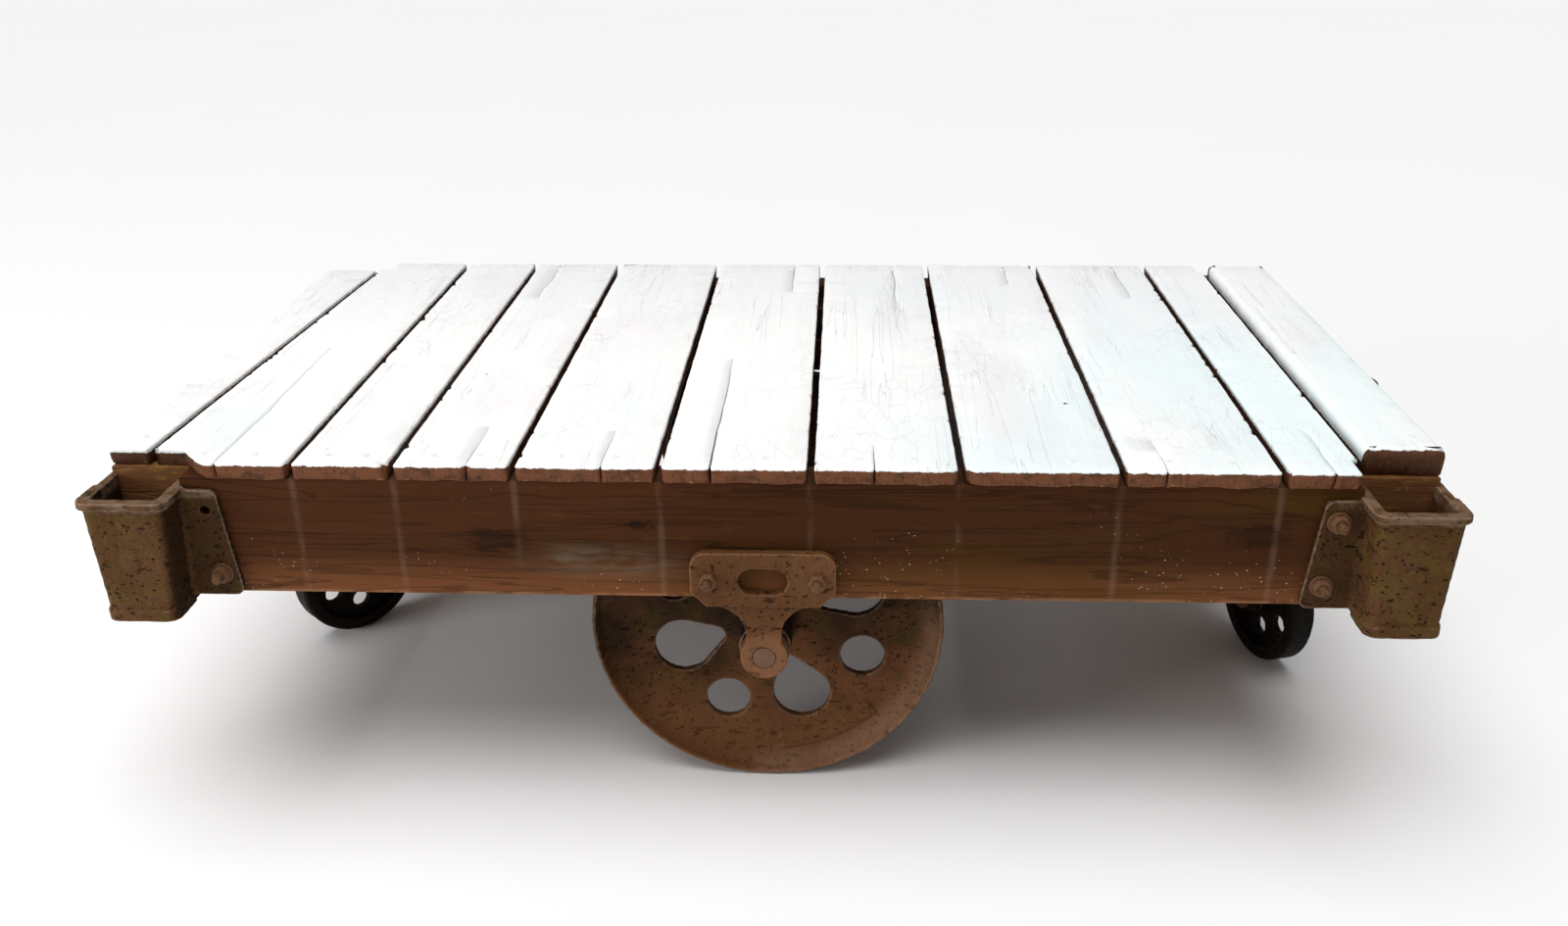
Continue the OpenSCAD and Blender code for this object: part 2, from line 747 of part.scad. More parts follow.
module axle_collar(side) {
    color(dark_iron) mirror([0, side < 0 ? 1 : 0, 0]) difference() {
        rod_y(collar_y1 - collar_w, collar_y1, 0, axle_z, collar_d);
        rod_y(collar_y1 - collar_w - eps, collar_y1 + eps, 0, axle_z, axle_d + 2 * snug);
        rod_z(axle_z, axle_z + collar_d, 0, collar_y1 - collar_w / 2, set_screw_d + 2 * snug);
    }
}

module collar_screws() {
    color(steel) for (side = [-1, 1])
        rod_z(axle_z + axle_d / 2 + snug, axle_z + collar_d / 2 + 1,
            0, side * (collar_y1 - collar_w / 2), set_screw_d);
}

// ---- Large wheels: drawn about Z, then turned to face front or rear ----

module face_outwards(side) {
    translate([0, 0, axle_z]) mirror([0, side > 0 ? 1 : 0, 0]) rotate([90, 0, 0]) children();
}

// A pear: a large and a small circle joined by their outer tangents
module pear_hole() {
    hull() {
        translate([pear_at, 0]) circle(pear_r, $fn = 2 * hull_fn);
        translate([pear_tip_at, 0]) circle(pear_tip_r, $fn = hull_fn);
    }
}

// The wheel's section: a flat web that curves up into the rim's lip
module wheel_profile() {
    r = wheel_d / 2;
    edge = 2;
    lip_y = wheel_y1 - 3;
    dish_in = rim_r - 34;
    dish_out = r - 6;
    polygon(concat(
        [[hub_d / 2, web_y0], [rim_r - 5, web_y0], [rim_r, web_y0 - edge],
         [rim_r + edge, wheel_y0], [r - edge, wheel_y0], [r, wheel_y0 + edge],
         [r, wheel_y1 - edge], [r - edge, wheel_y1], [dish_out + edge, wheel_y1]],
        [for (t = [90 : -10 : 0])
            [dish_in + (dish_out - dish_in) * sin(t), web_y1 + (lip_y - web_y1) * (1 - cos(t))]],
        [[hub_d / 2, web_y1]]
    ));
    translate([bushing_d / 2 + snug, hub_y0])
        square([hub_d / 2 - bushing_d / 2 - snug, hub_y1 - hub_y0]);
}

module wheel(side) {
    color(wheel_iron) face_outwards(side) difference() {
        rotate_extrude() wheel_profile();
        translate([0, 0, web_y0 - eps]) linear_extrude(web_t + 2 * eps) for (k = [0 : hole_count - 1]) {
            rotate(hole_phase + 360 * k / hole_count) pear_hole();
            rotate(hole_phase + 360 * (k + 0.5) / hole_count)
                translate([round_hole_at, 0]) circle(round_hole_r);
        }
    }
}

module wheel_bushing(side) {
    color(bronze) face_outwards(side) translate([0, 0, hub_y0]) difference() {
        cylinder(d = bushing_d, h = hub_y1 - hub_y0);
        translate([0, 0, -eps]) cylinder(d = bushing_bore, h = hub_y1 - hub_y0 + 2 * eps);
    }
}

// ---- Casters ----

module at_caster(end) {
    translate([end < 0 ? caster_left_x : caster_right_x, 0, 0])
        rotate([0, 0, end < 0 ? caster_left_turn : caster_right_turn]) children();
}

module ball_race_cut() {
    translate([0, 0, ball_z]) rotate_extrude()
        translate([ball_ring_r, 0]) circle(ball_d / 2 + race_play);
}

module caster_plate(end) {
    color(dark_iron) translate([end < 0 ? caster_left_x : caster_right_x, 0, 0]) difference() {
        union() {
            translate([0, 0, plate_z]) linear_extrude(caster_plate_t)
                rounded_rectangle(caster_plate_w, caster_plate_w, 8);
            rod_z(race_z, plate_z + eps, 0, 0, 2 * race_r);
        }
        rod_z(race_z - eps, beam_z + eps, 0, 0, kingpin_d + 2 * snug);
        rod_z(beam_z - kingpin_head_t - snug, beam_z + eps, 0, 0, kingpin_head_d + 2 * snug);
        ball_race_cut();
        for (sx = [-1, 1], sy = [-1, 1])
            rod_z(plate_z - eps, beam_z + eps, sx * caster_screw_at, sy * caster_screw_at,
                caster_screw_d + bolt_clear);
    }
}

module caster_plate_screws() {
    color(steel) for (axis_x = [caster_left_x, caster_right_x], sx = [-1, 1], sy = [-1, 1])
        translate([axis_x + sx * caster_screw_at, sy * caster_screw_at, 0]) {
            rod_z(plate_z - eps, plate_z + caster_screw_len, 0, 0, caster_screw_d);
            translate([0, 0, plate_z - head_h]) linear_extrude(head_h) hexagon(13);
        }
}

module kingpin(end) {
    color(steel) translate([end < 0 ? caster_left_x : caster_right_x, 0, 0]) {
        rod_z(kingpin_z, beam_z, 0, 0, kingpin_d);
        rod_z(beam_z - kingpin_head_t, beam_z, 0, 0, kingpin_head_d);
    }
}

module kingpin_nuts() {
    z0 = kingpin_z + kingpin_tail;
    color(steel) for (axis_x = [caster_left_x, caster_right_x])
        translate([axis_x, 0, z0]) difference() {
            linear_extrude(kingpin_nut_h) hexagon(kingpin_nut_af);
            translate([0, 0, -eps]) cylinder(d = kingpin_d + 2 * snug, h = kingpin_nut_h + 2 * eps);
        }
}

module swivel_balls() {
    color(steel) for (axis_x = [caster_left_x, caster_right_x], k = [0 : ball_count - 1])
        translate([axis_x, 0, ball_z]) rotate([0, 0, 360 * k / ball_count])
            translate([ball_ring_r, 0, 0]) sphere(d = ball_d, $fn = 32);
}

module fork_leg() {
    top_z = crown_z0 + crown_t / 3;
    foot_z = caster_axle_z;
    along_y(fork_gap / 2, leg_y1) {
        polygon([
            [-26, top_z], [30, top_z],
            [caster_trail + leg_boss_r, foot_z + 4], [caster_trail + leg_boss_r, foot_z],
            [caster_trail - leg_boss_r, foot_z], [caster_trail - leg_boss_r, foot_z + 4]
        ]);
        translate([caster_trail, foot_z]) circle(leg_boss_r);
    }
    rod_y(fork_gap / 2, leg_y1 + leg_boss_out, caster_trail, foot_z, 2 * leg_boss_r - 4);
}

module caster_fork(end) {
    color(dark_iron) at_caster(end) difference() {
        union() {
            rod_z(crown_z0, crown_z1, 0, 0, 2 * crown_r);
            for (side = [-1, 1]) mirror([0, side < 0 ? 1 : 0, 0]) fork_leg();
        }
        rod_z(crown_z0 - eps, crown_z1 + eps, 0, 0, kingpin_d + 2 * axle_run);
        ball_race_cut();
        rod_y(-leg_y1 - 2 * leg_boss_out, leg_y1 + 2 * leg_boss_out,
            caster_trail, caster_axle_z, caster_axle_d + 2 * snug);
    }
}

module caster_axle_bolt(end) {
    seat = leg_y1 + leg_boss_out;
    color(steel) at_caster(end) translate([caster_trail, 0, caster_axle_z]) {
        rod_y(-seat - caster_nut_h - 3, seat + eps, 0, 0, caster_axle_d);
        along_y(seat, seat + 8) hexagon(caster_nut_af);
    }
}

module caster_axle_nut(end) {
    seat = leg_y1 + leg_boss_out;
    color(steel) at_caster(end) translate([caster_trail, 0, caster_axle_z])
        nut_y(-seat - caster_nut_h, caster_nut_af, caster_nut_h, caster_axle_d + 2 * snug);
}

module caster_wheel_profile() {
    r = caster_wheel_d / 2;
    w = caster_wheel_w / 2;
    edge = 3;
    inner = r - caster_rim_t;
    polygon([
        [caster_hub_d / 2, -caster_web_t / 2], [inner - edge, -caster_web_t / 2], [inner, -w],
        [r - edge, -w], [r, -w + edge], [r, w - edge], [r - edge, w], [inner, w],
        [inner - edge, caster_web_t / 2], [caster_hub_d / 2, caster_web_t / 2]
    ]);
    translate([caster_bushing_d / 2 + snug, -caster_hub_l / 2])
        square([caster_hub_d / 2 - caster_bushing_d / 2 - snug, caster_hub_l]);
}

module caster_wheel(end) {
    color(dark_iron) at_caster(end) translate([caster_trail, 0, caster_axle_z]) rotate([90, 0, 0])
        difference() {
            rotate_extrude() caster_wheel_profile();
            for (k = [0 : caster_hole_count - 1])
                rotate([0, 0, 360 * (k + 0.5) / caster_hole_count])
                    translate([caster_hole_at, 0, -caster_web_t])
                        cylinder(r = caster_hole_r, h = 2 * caster_web_t);
        }
}

module caster_bushing(end) {
    color(bronze) at_caster(end) translate([caster_trail, 0, caster_axle_z]) difference() {
        rod_y(-caster_hub_l / 2, caster_hub_l / 2, 0, 0, caster_bushing_d);
        rod_y(-caster_hub_l / 2 - eps, caster_hub_l / 2 + eps, 0, 0, caster_bushing_bore);
    }
}

// ---- Tow lugs ----

module tow_lug(end) {
    color(brown_iron) mirror([end < 0 ? 1 : 0, 0, 0]) difference() {
        union() {
            along_x(beam_x, beam_x + lug_plate_t)
                translate([0, lug_bolt_z])
                    rounded_rectangle(lug_plate_w, lug_plate_z1 - lug_plate_z0, 9);
            translate([beam_x, -lug_w / 2, lug_z0]) cube([lug_hole_x - beam_x, lug_w, lug_t]);
            rod_z(lug_z0, lug_z1, lug_hole_x, 0, lug_w);
            for (s = [-1, 1]) translate([0, s * lug_rib_y, 0])
                along_y(-lug_rib_t / 2, lug_rib_t / 2) polygon([
                    [beam_x, lug_plate_z0 + 2], [beam_x + lug_plate_t + 2, lug_plate_z0 + 2],
                    [lug_hole_x, lug_z0 + 1], [beam_x, lug_z0 + 1]
                ]);
        }
        rod_z(lug_plate_z0, lug_z1 + eps, lug_hole_x, 0, lug_hole_d);
        for (s = [-1, 1])
            rod_x(beam_x - eps, beam_x + lug_plate_t + eps, s * lug_bolt_y, lug_bolt_z,
                bolt_d + bolt_clear);
    }
}

module tow_lug_screws() {
    color(steel) for (end = [-1, 1], side = [-1, 1])
        corner(end, side) translate([beam_x + lug_plate_t, lug_bolt_y, lug_bolt_z]) coach_screw();
}

plank(0);  // plank_01
plank(1);  // plank_02
plank(2);  // plank_03
plank(3);  // plank_04
plank(4);  // plank_05
plank(5);  // plank_06
plank(6);  // plank_07
plank(7);  // plank_08
plank(8);  // plank_09
plank(9);  // plank_10
plank(10);  // plank_11
deck_nails();
side_beam(-1);  // side_beam_front
side_beam(1);  // side_beam_rear
end_beam(-1);  // end_beam_left
end_beam(1);  // end_beam_right
bolster(-1);  // bolster_left
bolster(1);  // bolster_right
cross_beam(-1);  // cross_beam_left
cross_beam(1);  // cross_beam_right
stake_pocket(-1, -1);  // stake_pocket_front_left
stake_pocket(1, -1);  // stake_pocket_front_right
stake_pocket(-1, 1);  // stake_pocket_rear_left
stake_pocket(1, 1);  // stake_pocket_rear_right
pocket_bolts();
pocket_washers();
pocket_nuts();
pocket_coach_screws();
axle_hanger(-1);  // axle_hanger_front
axle_hanger(1);  // axle_hanger_rear
hanger_bolts();
hanger_nuts();
axle();
axle_collar(-1);  // axle_collar_front
axle_collar(1);  // axle_collar_rear
collar_screws();
wheel(-1);  // wheel_front
wheel(1);  // wheel_rear
wheel_bushing(-1);  // wheel_bushing_front
wheel_bushing(1);  // wheel_bushing_rear
caster_plate(-1);  // caster_plate_left
caster_plate(1);  // caster_plate_right
caster_plate_screws();
kingpin(-1);  // kingpin_left
kingpin(1);  // kingpin_right
kingpin_nuts();
swivel_balls();
caster_fork(-1);  // caster_fork_left
caster_fork(1);  // caster_fork_right
caster_axle_bolt(-1);  // caster_axle_bolt_left
caster_axle_bolt(1);  // caster_axle_bolt_right
caster_axle_nut(-1);  // caster_axle_nut_left
caster_axle_nut(1);  // caster_axle_nut_right
caster_wheel(-1);  // caster_wheel_left
caster_wheel(1);  // caster_wheel_right
caster_bushing(-1);  // caster_bushing_left
caster_bushing(1);  // caster_bushing_right
tow_lug(-1);  // tow_lug_left
tow_lug(1);  // tow_lug_right
tow_lug_screws();
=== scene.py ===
# %% [markdown]
# # An old platform truck
#
# This lesson dresses a factory truck: eleven painted boards on a timber frame, two large cast
# wheels in the middle, a swivel caster under each end and a cast stake pocket at each corner.
# The engineering model comes in as a fixed frame that already has every size and joint. Our work
# is what a paint shop and fifty years of use do to it: chipped boards, soft cast edges, grain,
# rust and grime.

# %% Load the fixed frame
import json
import math
import random

import bmesh
import bpy
import numpy as np
from mathutils import Matrix, Vector, noise


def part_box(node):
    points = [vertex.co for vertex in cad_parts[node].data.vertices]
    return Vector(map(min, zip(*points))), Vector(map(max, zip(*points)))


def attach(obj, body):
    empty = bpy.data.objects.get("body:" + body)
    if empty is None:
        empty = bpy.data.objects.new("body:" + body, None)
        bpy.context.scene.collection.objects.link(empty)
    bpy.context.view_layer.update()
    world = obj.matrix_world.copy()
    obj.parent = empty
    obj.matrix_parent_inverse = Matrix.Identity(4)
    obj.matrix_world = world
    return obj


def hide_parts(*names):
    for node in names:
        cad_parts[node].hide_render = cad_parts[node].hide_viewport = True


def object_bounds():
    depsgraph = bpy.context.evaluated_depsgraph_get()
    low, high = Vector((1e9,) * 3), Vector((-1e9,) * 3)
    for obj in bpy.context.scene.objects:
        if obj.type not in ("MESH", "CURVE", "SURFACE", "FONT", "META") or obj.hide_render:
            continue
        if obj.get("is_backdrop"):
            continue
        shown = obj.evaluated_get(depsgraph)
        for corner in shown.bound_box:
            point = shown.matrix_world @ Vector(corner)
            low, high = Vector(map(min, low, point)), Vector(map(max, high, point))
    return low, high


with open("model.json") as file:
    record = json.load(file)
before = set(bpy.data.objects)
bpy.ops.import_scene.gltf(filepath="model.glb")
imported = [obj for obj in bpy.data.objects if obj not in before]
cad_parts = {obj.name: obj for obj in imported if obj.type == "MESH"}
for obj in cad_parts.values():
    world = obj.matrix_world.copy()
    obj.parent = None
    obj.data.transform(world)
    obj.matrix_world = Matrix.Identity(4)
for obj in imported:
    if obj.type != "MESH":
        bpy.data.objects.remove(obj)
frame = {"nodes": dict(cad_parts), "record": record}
cad_low, cad_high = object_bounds()
MM = 0.001
random.seed(14)
print("nodes:", len(frame["nodes"]))

# %% [markdown]
# ## Camera, floor and light
#
# The camera stands 0.9 m up and 1.5 m in front of the middle, and looks down on the deck. We
# build its matrix from three directions (right, up and back) rather than from angles, because a
# small roll is then one line. A very large pale floor fills the view to the top. The light is one
# very broad lamp overhead, like a bright ceiling, and a soft box low at the front left, so the
# deck is bright and the timber below it falls into a soft shade.

# %% Camera
CAMERA_PLACE = Vector((0.0744, -1.4901, 0.8906))
YAW, PITCH, ROLL = -0.0463, 0.4158, -0.010


def camera_axes(yaw, pitch, roll):
    """The camera's right, up and forward directions, in radians from the +Y direction."""
    ahead = Vector((math.sin(yaw) * math.cos(pitch), math.cos(yaw) * math.cos(pitch), -math.sin(pitch)))
    right = Vector((math.cos(yaw), -math.sin(yaw), 0))
    up = right.cross(ahead)
    turn = math.cos(roll), math.sin(roll)
    return turn[0] * right + turn[1] * up, turn[0] * up - turn[1] * right, ahead


camera = bpy.data.objects.new("camera", bpy.data.cameras.new("camera"))
bpy.context.scene.collection.objects.link(camera)
camera.data.sensor_width = 36
camera.data.lens = 31.95
right, up, ahead = camera_axes(YAW, PITCH, ROLL)
camera.matrix_world = Matrix.Translation(CAMERA_PLACE) @ Matrix((right, up, -ahead)).transposed().to_4x4()
bpy.context.scene.camera = camera
print("camera looks along", tuple(round(c, 3) for c in ahead))


# %% Lights and world
def soft_box(name, place, aim, size, power):
    """A square area light at a place, turned to face a point."""
    lamp = bpy.data.lights.new(name, "AREA")
    lamp.shape, lamp.size, lamp.energy = "SQUARE", size, power
    holder = bpy.data.objects.new(name, lamp)
    holder.location = place
    holder.rotation_euler = (Vector(aim) - Vector(place)).to_track_quat("-Z", "Y").to_euler()
    bpy.context.scene.collection.objects.link(holder)


ceiling = bpy.data.objects.new("soft_ceiling", bpy.data.lights.new("soft_ceiling", "SUN"))
ceiling.data.energy, ceiling.data.angle = 2.65, math.radians(58)
ceiling.rotation_euler = (math.radians(8), math.radians(-6), 0)
bpy.context.scene.collection.objects.link(ceiling)
soft_box("front_left_box", (-3.0, -1.7, 0.85), (0, 0, 0.2), 1.3, 48)
world = bpy.data.worlds.new("pale_room")
world.use_nodes = True
world.node_tree.nodes["Background"].inputs["Color"].default_value = (1.0, 0.985, 0.96, 1)
world.node_tree.nodes["Background"].inputs["Strength"].default_value = 0.22
bpy.context.scene.world = world
bpy.context.scene.view_settings.view_transform = "Standard"

# %% [markdown]
# ## A short language for finishes
#
# A finish is a small sum: this colour, plus that one where some mask is high. Node trees hide
# such sums, so we wrap a node's output in a class that understands plus, minus and times. Writing
# `paint * (1 - wear)` then adds the Math nodes for us. Colours are mixed by a Mix node instead,
# because a Math node would turn them grey.


# %% Wires and finishes
class Wire:
    """The output of a shader node, which can be used in sums."""

    def __init__(self, finish, socket):
        self.finish, self.socket = finish, socket

    def _sum(self, operation, first, second=0.0):
        return self.finish.node("ShaderNodeMath", {"operation": operation}, {0: first, 1: second})

    def __add__(self, other):
        return self._sum("ADD", self, other)

    def __sub__(self, other):
        return self._sum("SUBTRACT", self, other)

    def __rsub__(self, other):
        return self._sum("SUBTRACT", other, self)

    def __mul__(self, other):
        return self._sum("MULTIPLY", self, other)

    def __abs__(self):
        return self._sum("ABSOLUTE", self)

    __radd__ = __add__
    __rmul__ = __mul__

    def larger(self, other):
        return self._sum("MAXIMUM", self, other)

    def rise(self, low, high):
        """0 below low, 1 above high, and a smooth step between them (or falling, if low > high)."""
        settings = {"interpolation_type": "SMOOTHSTEP"}
        if low <= high:
            return self.finish.node("ShaderNodeMapRange", settings, {0: self, 1: low, 2: high})
        return self.finish.node("ShaderNodeMapRange", settings, {0: self, 1: high, 2: low, 3: 1.0, 4: 0.0})


def shade(code):
    """A linear colour from a web colour code, such as 4c2f18."""
    parts = [int(code[i:i + 2], 16) / 255 for i in (0, 2, 4)]
    return tuple(p / 12.92 if p <= 0.04045 else ((p + 0.055) / 1.055) ** 2.4 for p in parts) + (1.0,)


class Finish:
    """A material and the short ways we have of adding nodes to it."""

    def __init__(self, name, gloss=0.5):
        self.material = bpy.data.materials.new(name)
        self.material.use_nodes = True
        self.tree = self.material.node_tree
        self.shader = self.tree.nodes["Principled BSDF"]
        self.shader.inputs["Specular IOR Level"].default_value = gloss
        self.place = self.node("ShaderNodeTexCoord", out="Object")
        self.x, self.y, self.z = (
            self.node("ShaderNodeSeparateXYZ", {}, {0: self.place}, i) for i in range(3))
        self.point = self.node("ShaderNodeNewGeometry", out="Pointiness")

    def node(self, kind, settings=None, sockets=None, out=0):
        """Any node: its settings first, then the values or wires of its sockets."""
        made = self.tree.nodes.new(kind)
        for key, value in (settings or {}).items():
            setattr(made, key, value)
        for key, value in (sockets or {}).items():
            if isinstance(value, Wire):
                self.tree.links.new(value.socket, made.inputs[key])
            else:
                made.inputs[key].default_value = value
        return Wire(self, made.outputs[out])

    def stretched(self, scale, shift=0.0):
        """Where we are on the piece, times a scale for each direction."""
        size = scale if isinstance(scale, tuple) else (scale,) * 3
        return self.node("ShaderNodeVectorMath", {"operation": "MULTIPLY_ADD"},
                         {0: self.place, 1: size, 2: (shift, shift * 1.7, shift * 0.6)})

    def clouds(self, scale, shift=0.0, detail=4.0, rough=0.55, warp=0.0):
        return self.node("ShaderNodeTexNoise", {}, {
            "Vector": self.stretched(scale, shift), "Scale": 1.0, "Detail": detail,
            "Roughness": rough, "Distortion": warp})

    def cells(self, scale, shift=0.0):
        return self.node("ShaderNodeTexVoronoi", {"feature": "F1"},
                         {"Vector": self.stretched(scale, shift), "Scale": 1.0})

    def mix(self, share, under, over):
        """The colour over laid on the colour under, as thickly as share says."""
        return self.node("ShaderNodeMix", {"data_type": "RGBA"}, {0: share, 6: under, 7: over}, 2)

    def layers(self, ground, *coats):
        """A ground colour and a row of (share, colour) laid on it."""
        colour = ground
        for share, coat in coats:
            colour = self.mix(share, colour, coat)
        return colour

    def finish(self, colour, rough, *bumps, metal=0.0):
        """Feeds the shader. Each bump is (height, depth in metres)."""
        normal = None
        for height, depth in bumps:
            sockets = {"Height": height, "Distance": depth, "Strength": 1.0}
            if normal:
                sockets["Normal"] = normal
            normal = self.node("ShaderNodeBump", {}, sockets)
        feeds = {"Base Color": colour, "Roughness": rough, "Metallic": metal, "Normal": normal}
        for name, value in feeds.items():
            if isinstance(value, Wire):
                self.tree.links.new(value.socket, self.shader.inputs[name])
            elif value is not None:
                self.shader.inputs[name].default_value = value
        print("finish", self.material.name, "with", len(self.tree.nodes), "nodes")
        return self.material


def widest(masks):
    """The largest of several masks at each place."""
    result = masks[0]
    for mask in masks[1:]:
        result = result.larger(mask)
    return result


# %% Pale floor
def pale_floor():
    paint = Finish("pale_floor", 0.1)
    mottle = paint.clouds(1.5)
    return paint.finish(paint.layers(shade("f4f4f4"), (mottle * 0.3, shade("ececee"))), 0.8)


bpy.ops.mesh.primitive_plane_add(size=60, location=(0, 0, -0.0005))
floor = bpy.context.object
floor.name = "pale_floor"
floor.data.materials.append(pale_floor())
floor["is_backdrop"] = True

# %% [markdown]
# ## White paint on old boards
#
# The boards wear thick white house paint, brushed on along the grain. It has gone slightly blue
# in some places and pink in others, it has fine cracks, and it has flaked off at edges and knots.
# The brush never reached the ends and the gaps, which keep an older red-brown paint with yellow
# flecks. One finish does both: a mask that follows height says where the white coat stops, and
# noise makes that line ragged. `board` is a number stored on each board, so that no two share
# the same pattern.


# %% Board finish
def board_paint(name, top, end, side_reach):
    """White paint on a board's top, down its long sides by side_reach, and red-brown below it."""
    paint = Finish(name, 0.2)
    board = paint.node("ShaderNodeAttribute", {"attribute_name": "board"}, {}, "Fac")
    edge = paint.node("ShaderNodeAttribute", {"attribute_name": "edge"}, {}, "Fac")

    # The white coat: tints, a painted shade that greys it towards the rear, brush marks and smudges
    brush = paint.clouds((210.0, 6.0, 40.0), 3, 5, 0.6)
    fine = paint.clouds((900.0, 24.0, 120.0), 5, 3, 0.6)
    blue = (paint.clouds((5.0, 2.2, 3.0), 11) + board * 0.10 + paint.x * 0.24).rise(0.50, 0.78)
    pink = (paint.clouds((6.0, 3.0, 3.0), 27) + paint.y * 0.22).rise(0.52, 0.76)
    smudge = paint.clouds((11.0, 5.0, 9.0), 41, 6, 0.65).rise(0.56, 0.80)
    white = paint.layers(
        shade("fafaf9"), (blue * 0.75, shade("e6f4f6")), (pink * 0.5, shade("eae0e4")),
        # painted shade: the white greys towards the rear of the deck
        (paint.y.rise(-0.05, 0.36) * 0.9, shade("ececee")),
        (smudge * 0.5, shade("d9dad8")), (brush.rise(0.55, 0.75) * 0.3, shade("e4e5e3")))

    # Cracks: a net of fine ones in patches, and long ones that follow the grain
    patch = paint.clouds((7.0, 4.0, 5.0), 63, 3).rise(0.46, 0.60)
    wander = paint.clouds((30.0, 14.0, 20.0), 9, 3)
    net_place = paint.node("ShaderNodeVectorMath", {"operation": "MULTIPLY_ADD"},
                           {0: wander, 1: (0.9, 0.9, 0.9), 2: paint.stretched((62.0, 24.0, 30.0), 1)})
    net = paint.node("ShaderNodeTexVoronoi", {"feature": "DISTANCE_TO_EDGE"},
                     {"Vector": net_place, "Scale": 1.0}).rise(0.030, 0.0) * patch
    split_field = paint.clouds((75.0, 2.2, 20.0), 17, 3, 0.5)
    split = abs(split_field - 0.5).rise(0.0065, 0.001)
    split = split * paint.clouds((14.0, 3.0, 9.0), 83, 2).rise(0.52, 0.60)

    # Chips: spots anywhere, and a ragged line of them along each edge
    spots = paint.clouds((62.0, 34.0, 40.0), 71, 5, 0.62)
    worn_patch = paint.clouds((5.0, 3.0, 4.0), 77, 3).rise(0.45, 0.62)
    chip = (spots + edge * 0.05 + worn_patch * 0.03).rise(0.815, 0.830)
    lost = chip.larger(split * 0.22)
    bare = paint.layers(shade("6b4a34"), (paint.clouds((300.0, 20.0, 60.0), 6), shade("3c2618")))
    top_colour = paint.layers(white, (net * 0.20, shade("8d8780")), (lost, bare))

    # Ends and gaps: older red-brown paint, end grain, yellow flecks low down, and painted shade deep in the
    # gaps
    ends = paint.clouds((60.0, 60.0, 90.0), 33, 5, 0.6)
    end_grain = paint.clouds((260.0, 40.0, 900.0), 35, 4, 0.6)
    fleck = paint.clouds((240.0, 200.0, 260.0), 51, 4, 0.6).rise(0.60, 0.66)
    low_down = (top - 0.010 - paint.z).rise(0.0, 0.006)
    dark_crack = abs(paint.clouds((150.0, 30.0, 36.0), 57, 3) - 0.5).rise(0.012, 0.002)
    brown = paint.layers(
        shade("6e4229"), (ends.rise(0.45, 0.7), shade("4a2d1b")),
        (end_grain.rise(0.5, 0.75) * 0.5, shade("8a5e41")), (dark_crack * 0.8, shade("1c0f07")),
        (fleck * (0.1 + low_down * 0.7), shade("9c8240")))
    # painted shade: the red-brown darkens deep in each gap, away from the board's ends
    painted_gap_shade = (abs(paint.y) - (cad_high.y - 0.045)).rise(0.0, -0.03)
    brown = paint.mix(painted_gap_shade * 0.55, brown, shade("2a1c12"))

    ragged = paint.clouds((160.0, 160.0, 60.0), 91, 4, 0.6)
    along_side = (abs(paint.y) - (end - 0.006)).rise(0.0, -0.004)
    line = paint.z + (ragged - 0.5) * 0.004 - (top - 0.0021) + along_side * side_reach
    coated = line.rise(-0.0006, 0.0006)
    colour = paint.mix(coated, brown, top_colour)
    rough = coated * -0.12 + 0.62 + brush * 0.12
    relief = brush * 0.5 + fine * 0.18
    return paint.finish(colour, rough, (relief, 0.0007), (1 - lost * coated, 0.0009),
                        (paint.clouds((38.0, 16.0, 30.0), 7, 3), 0.0016))


DECK_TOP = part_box("plank_06")[1].z
RAISED_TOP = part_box("plank_11")[1].z
board_finish = board_paint("white_board_paint", DECK_TOP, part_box("plank_06")[1].y, 0.002)
raised_finish = board_paint("white_raised_board_paint", RAISED_TOP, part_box("plank_11")[1].y, 0.014)


# %% Nail finish
def nail_paint():
    """Nail heads under the same white coat, with a little rust coming through."""
    paint = Finish("white_nail_paint", 0.2)
    rust = paint.clouds(300.0, 4, 4).rise(0.60, 0.70)
    under = (paint.z - (DECK_TOP - 0.003)).rise(0.0, -0.001)
    colour = paint.layers(shade("f0f0ee"), (rust * 0.35, shade("a58f7c")), (under, shade("4c3019")))
    return paint.finish(colour, 0.55, (paint.clouds(500.0, 8), 0.0003))


nail_finish = nail_paint()

# %% [markdown]
# ## Dark paint on the timber frame
#
# The beams keep a dark red-brown paint. The grain runs along the beam, so the noise is stretched
# a lot along X (or along Y on the cross timbers). Rain and paint water ran down between the
# boards and left a pale streak under each gap, and there are white specks from the deck's paint.
# The streaks need the gaps' places, which we read from the boards' boxes.

# %% Frame finish
board_names = sorted(n for n in frame["nodes"] if n.startswith("plank_"))
gap_places = [(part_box(a)[1].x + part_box(b)[0].x) / 2 for a, b in zip(board_names[1:-1], board_names[2:])]
beam_low, beam_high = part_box("side_beam_front")
KNOTS = ((-0.252, 0.062, 0.016), (-0.118, 0.044, 0.007), (0.455, 0.050, 0.016))
SMEAR_X, SMEAR_RISE = -0.150, 0.030
REBATE_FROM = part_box("stake_pocket_front_right")[0].x + 0.046
INNER_FACE_FROM = abs(beam_low.y) - 0.020
print("gaps between boards at", [round(g, 3) for g in gap_places])


def knot_mask(paint):
    """Ragged dark spots at the knots: each is a place along X, a depth below the top, and a size."""
    spots = []
    for knot_x, knot_z, reach in KNOTS:
        across = paint.node("ShaderNodeCombineXYZ", {}, {
            0: (paint.x - knot_x) * 0.45, 1: 0.0, 2: paint.z - (beam_high.z - knot_z)})
        away = paint.node("ShaderNodeVectorMath", {"operation": "LENGTH"}, {0: across}, 1)
        ragged = away + (paint.clouds((90.0, 5.0, 220.0), 17, 4, 0.65) - 0.5) * 0.030
        spots.append(ragged.rise(reach, reach * 0.45))
    return widest(spots)


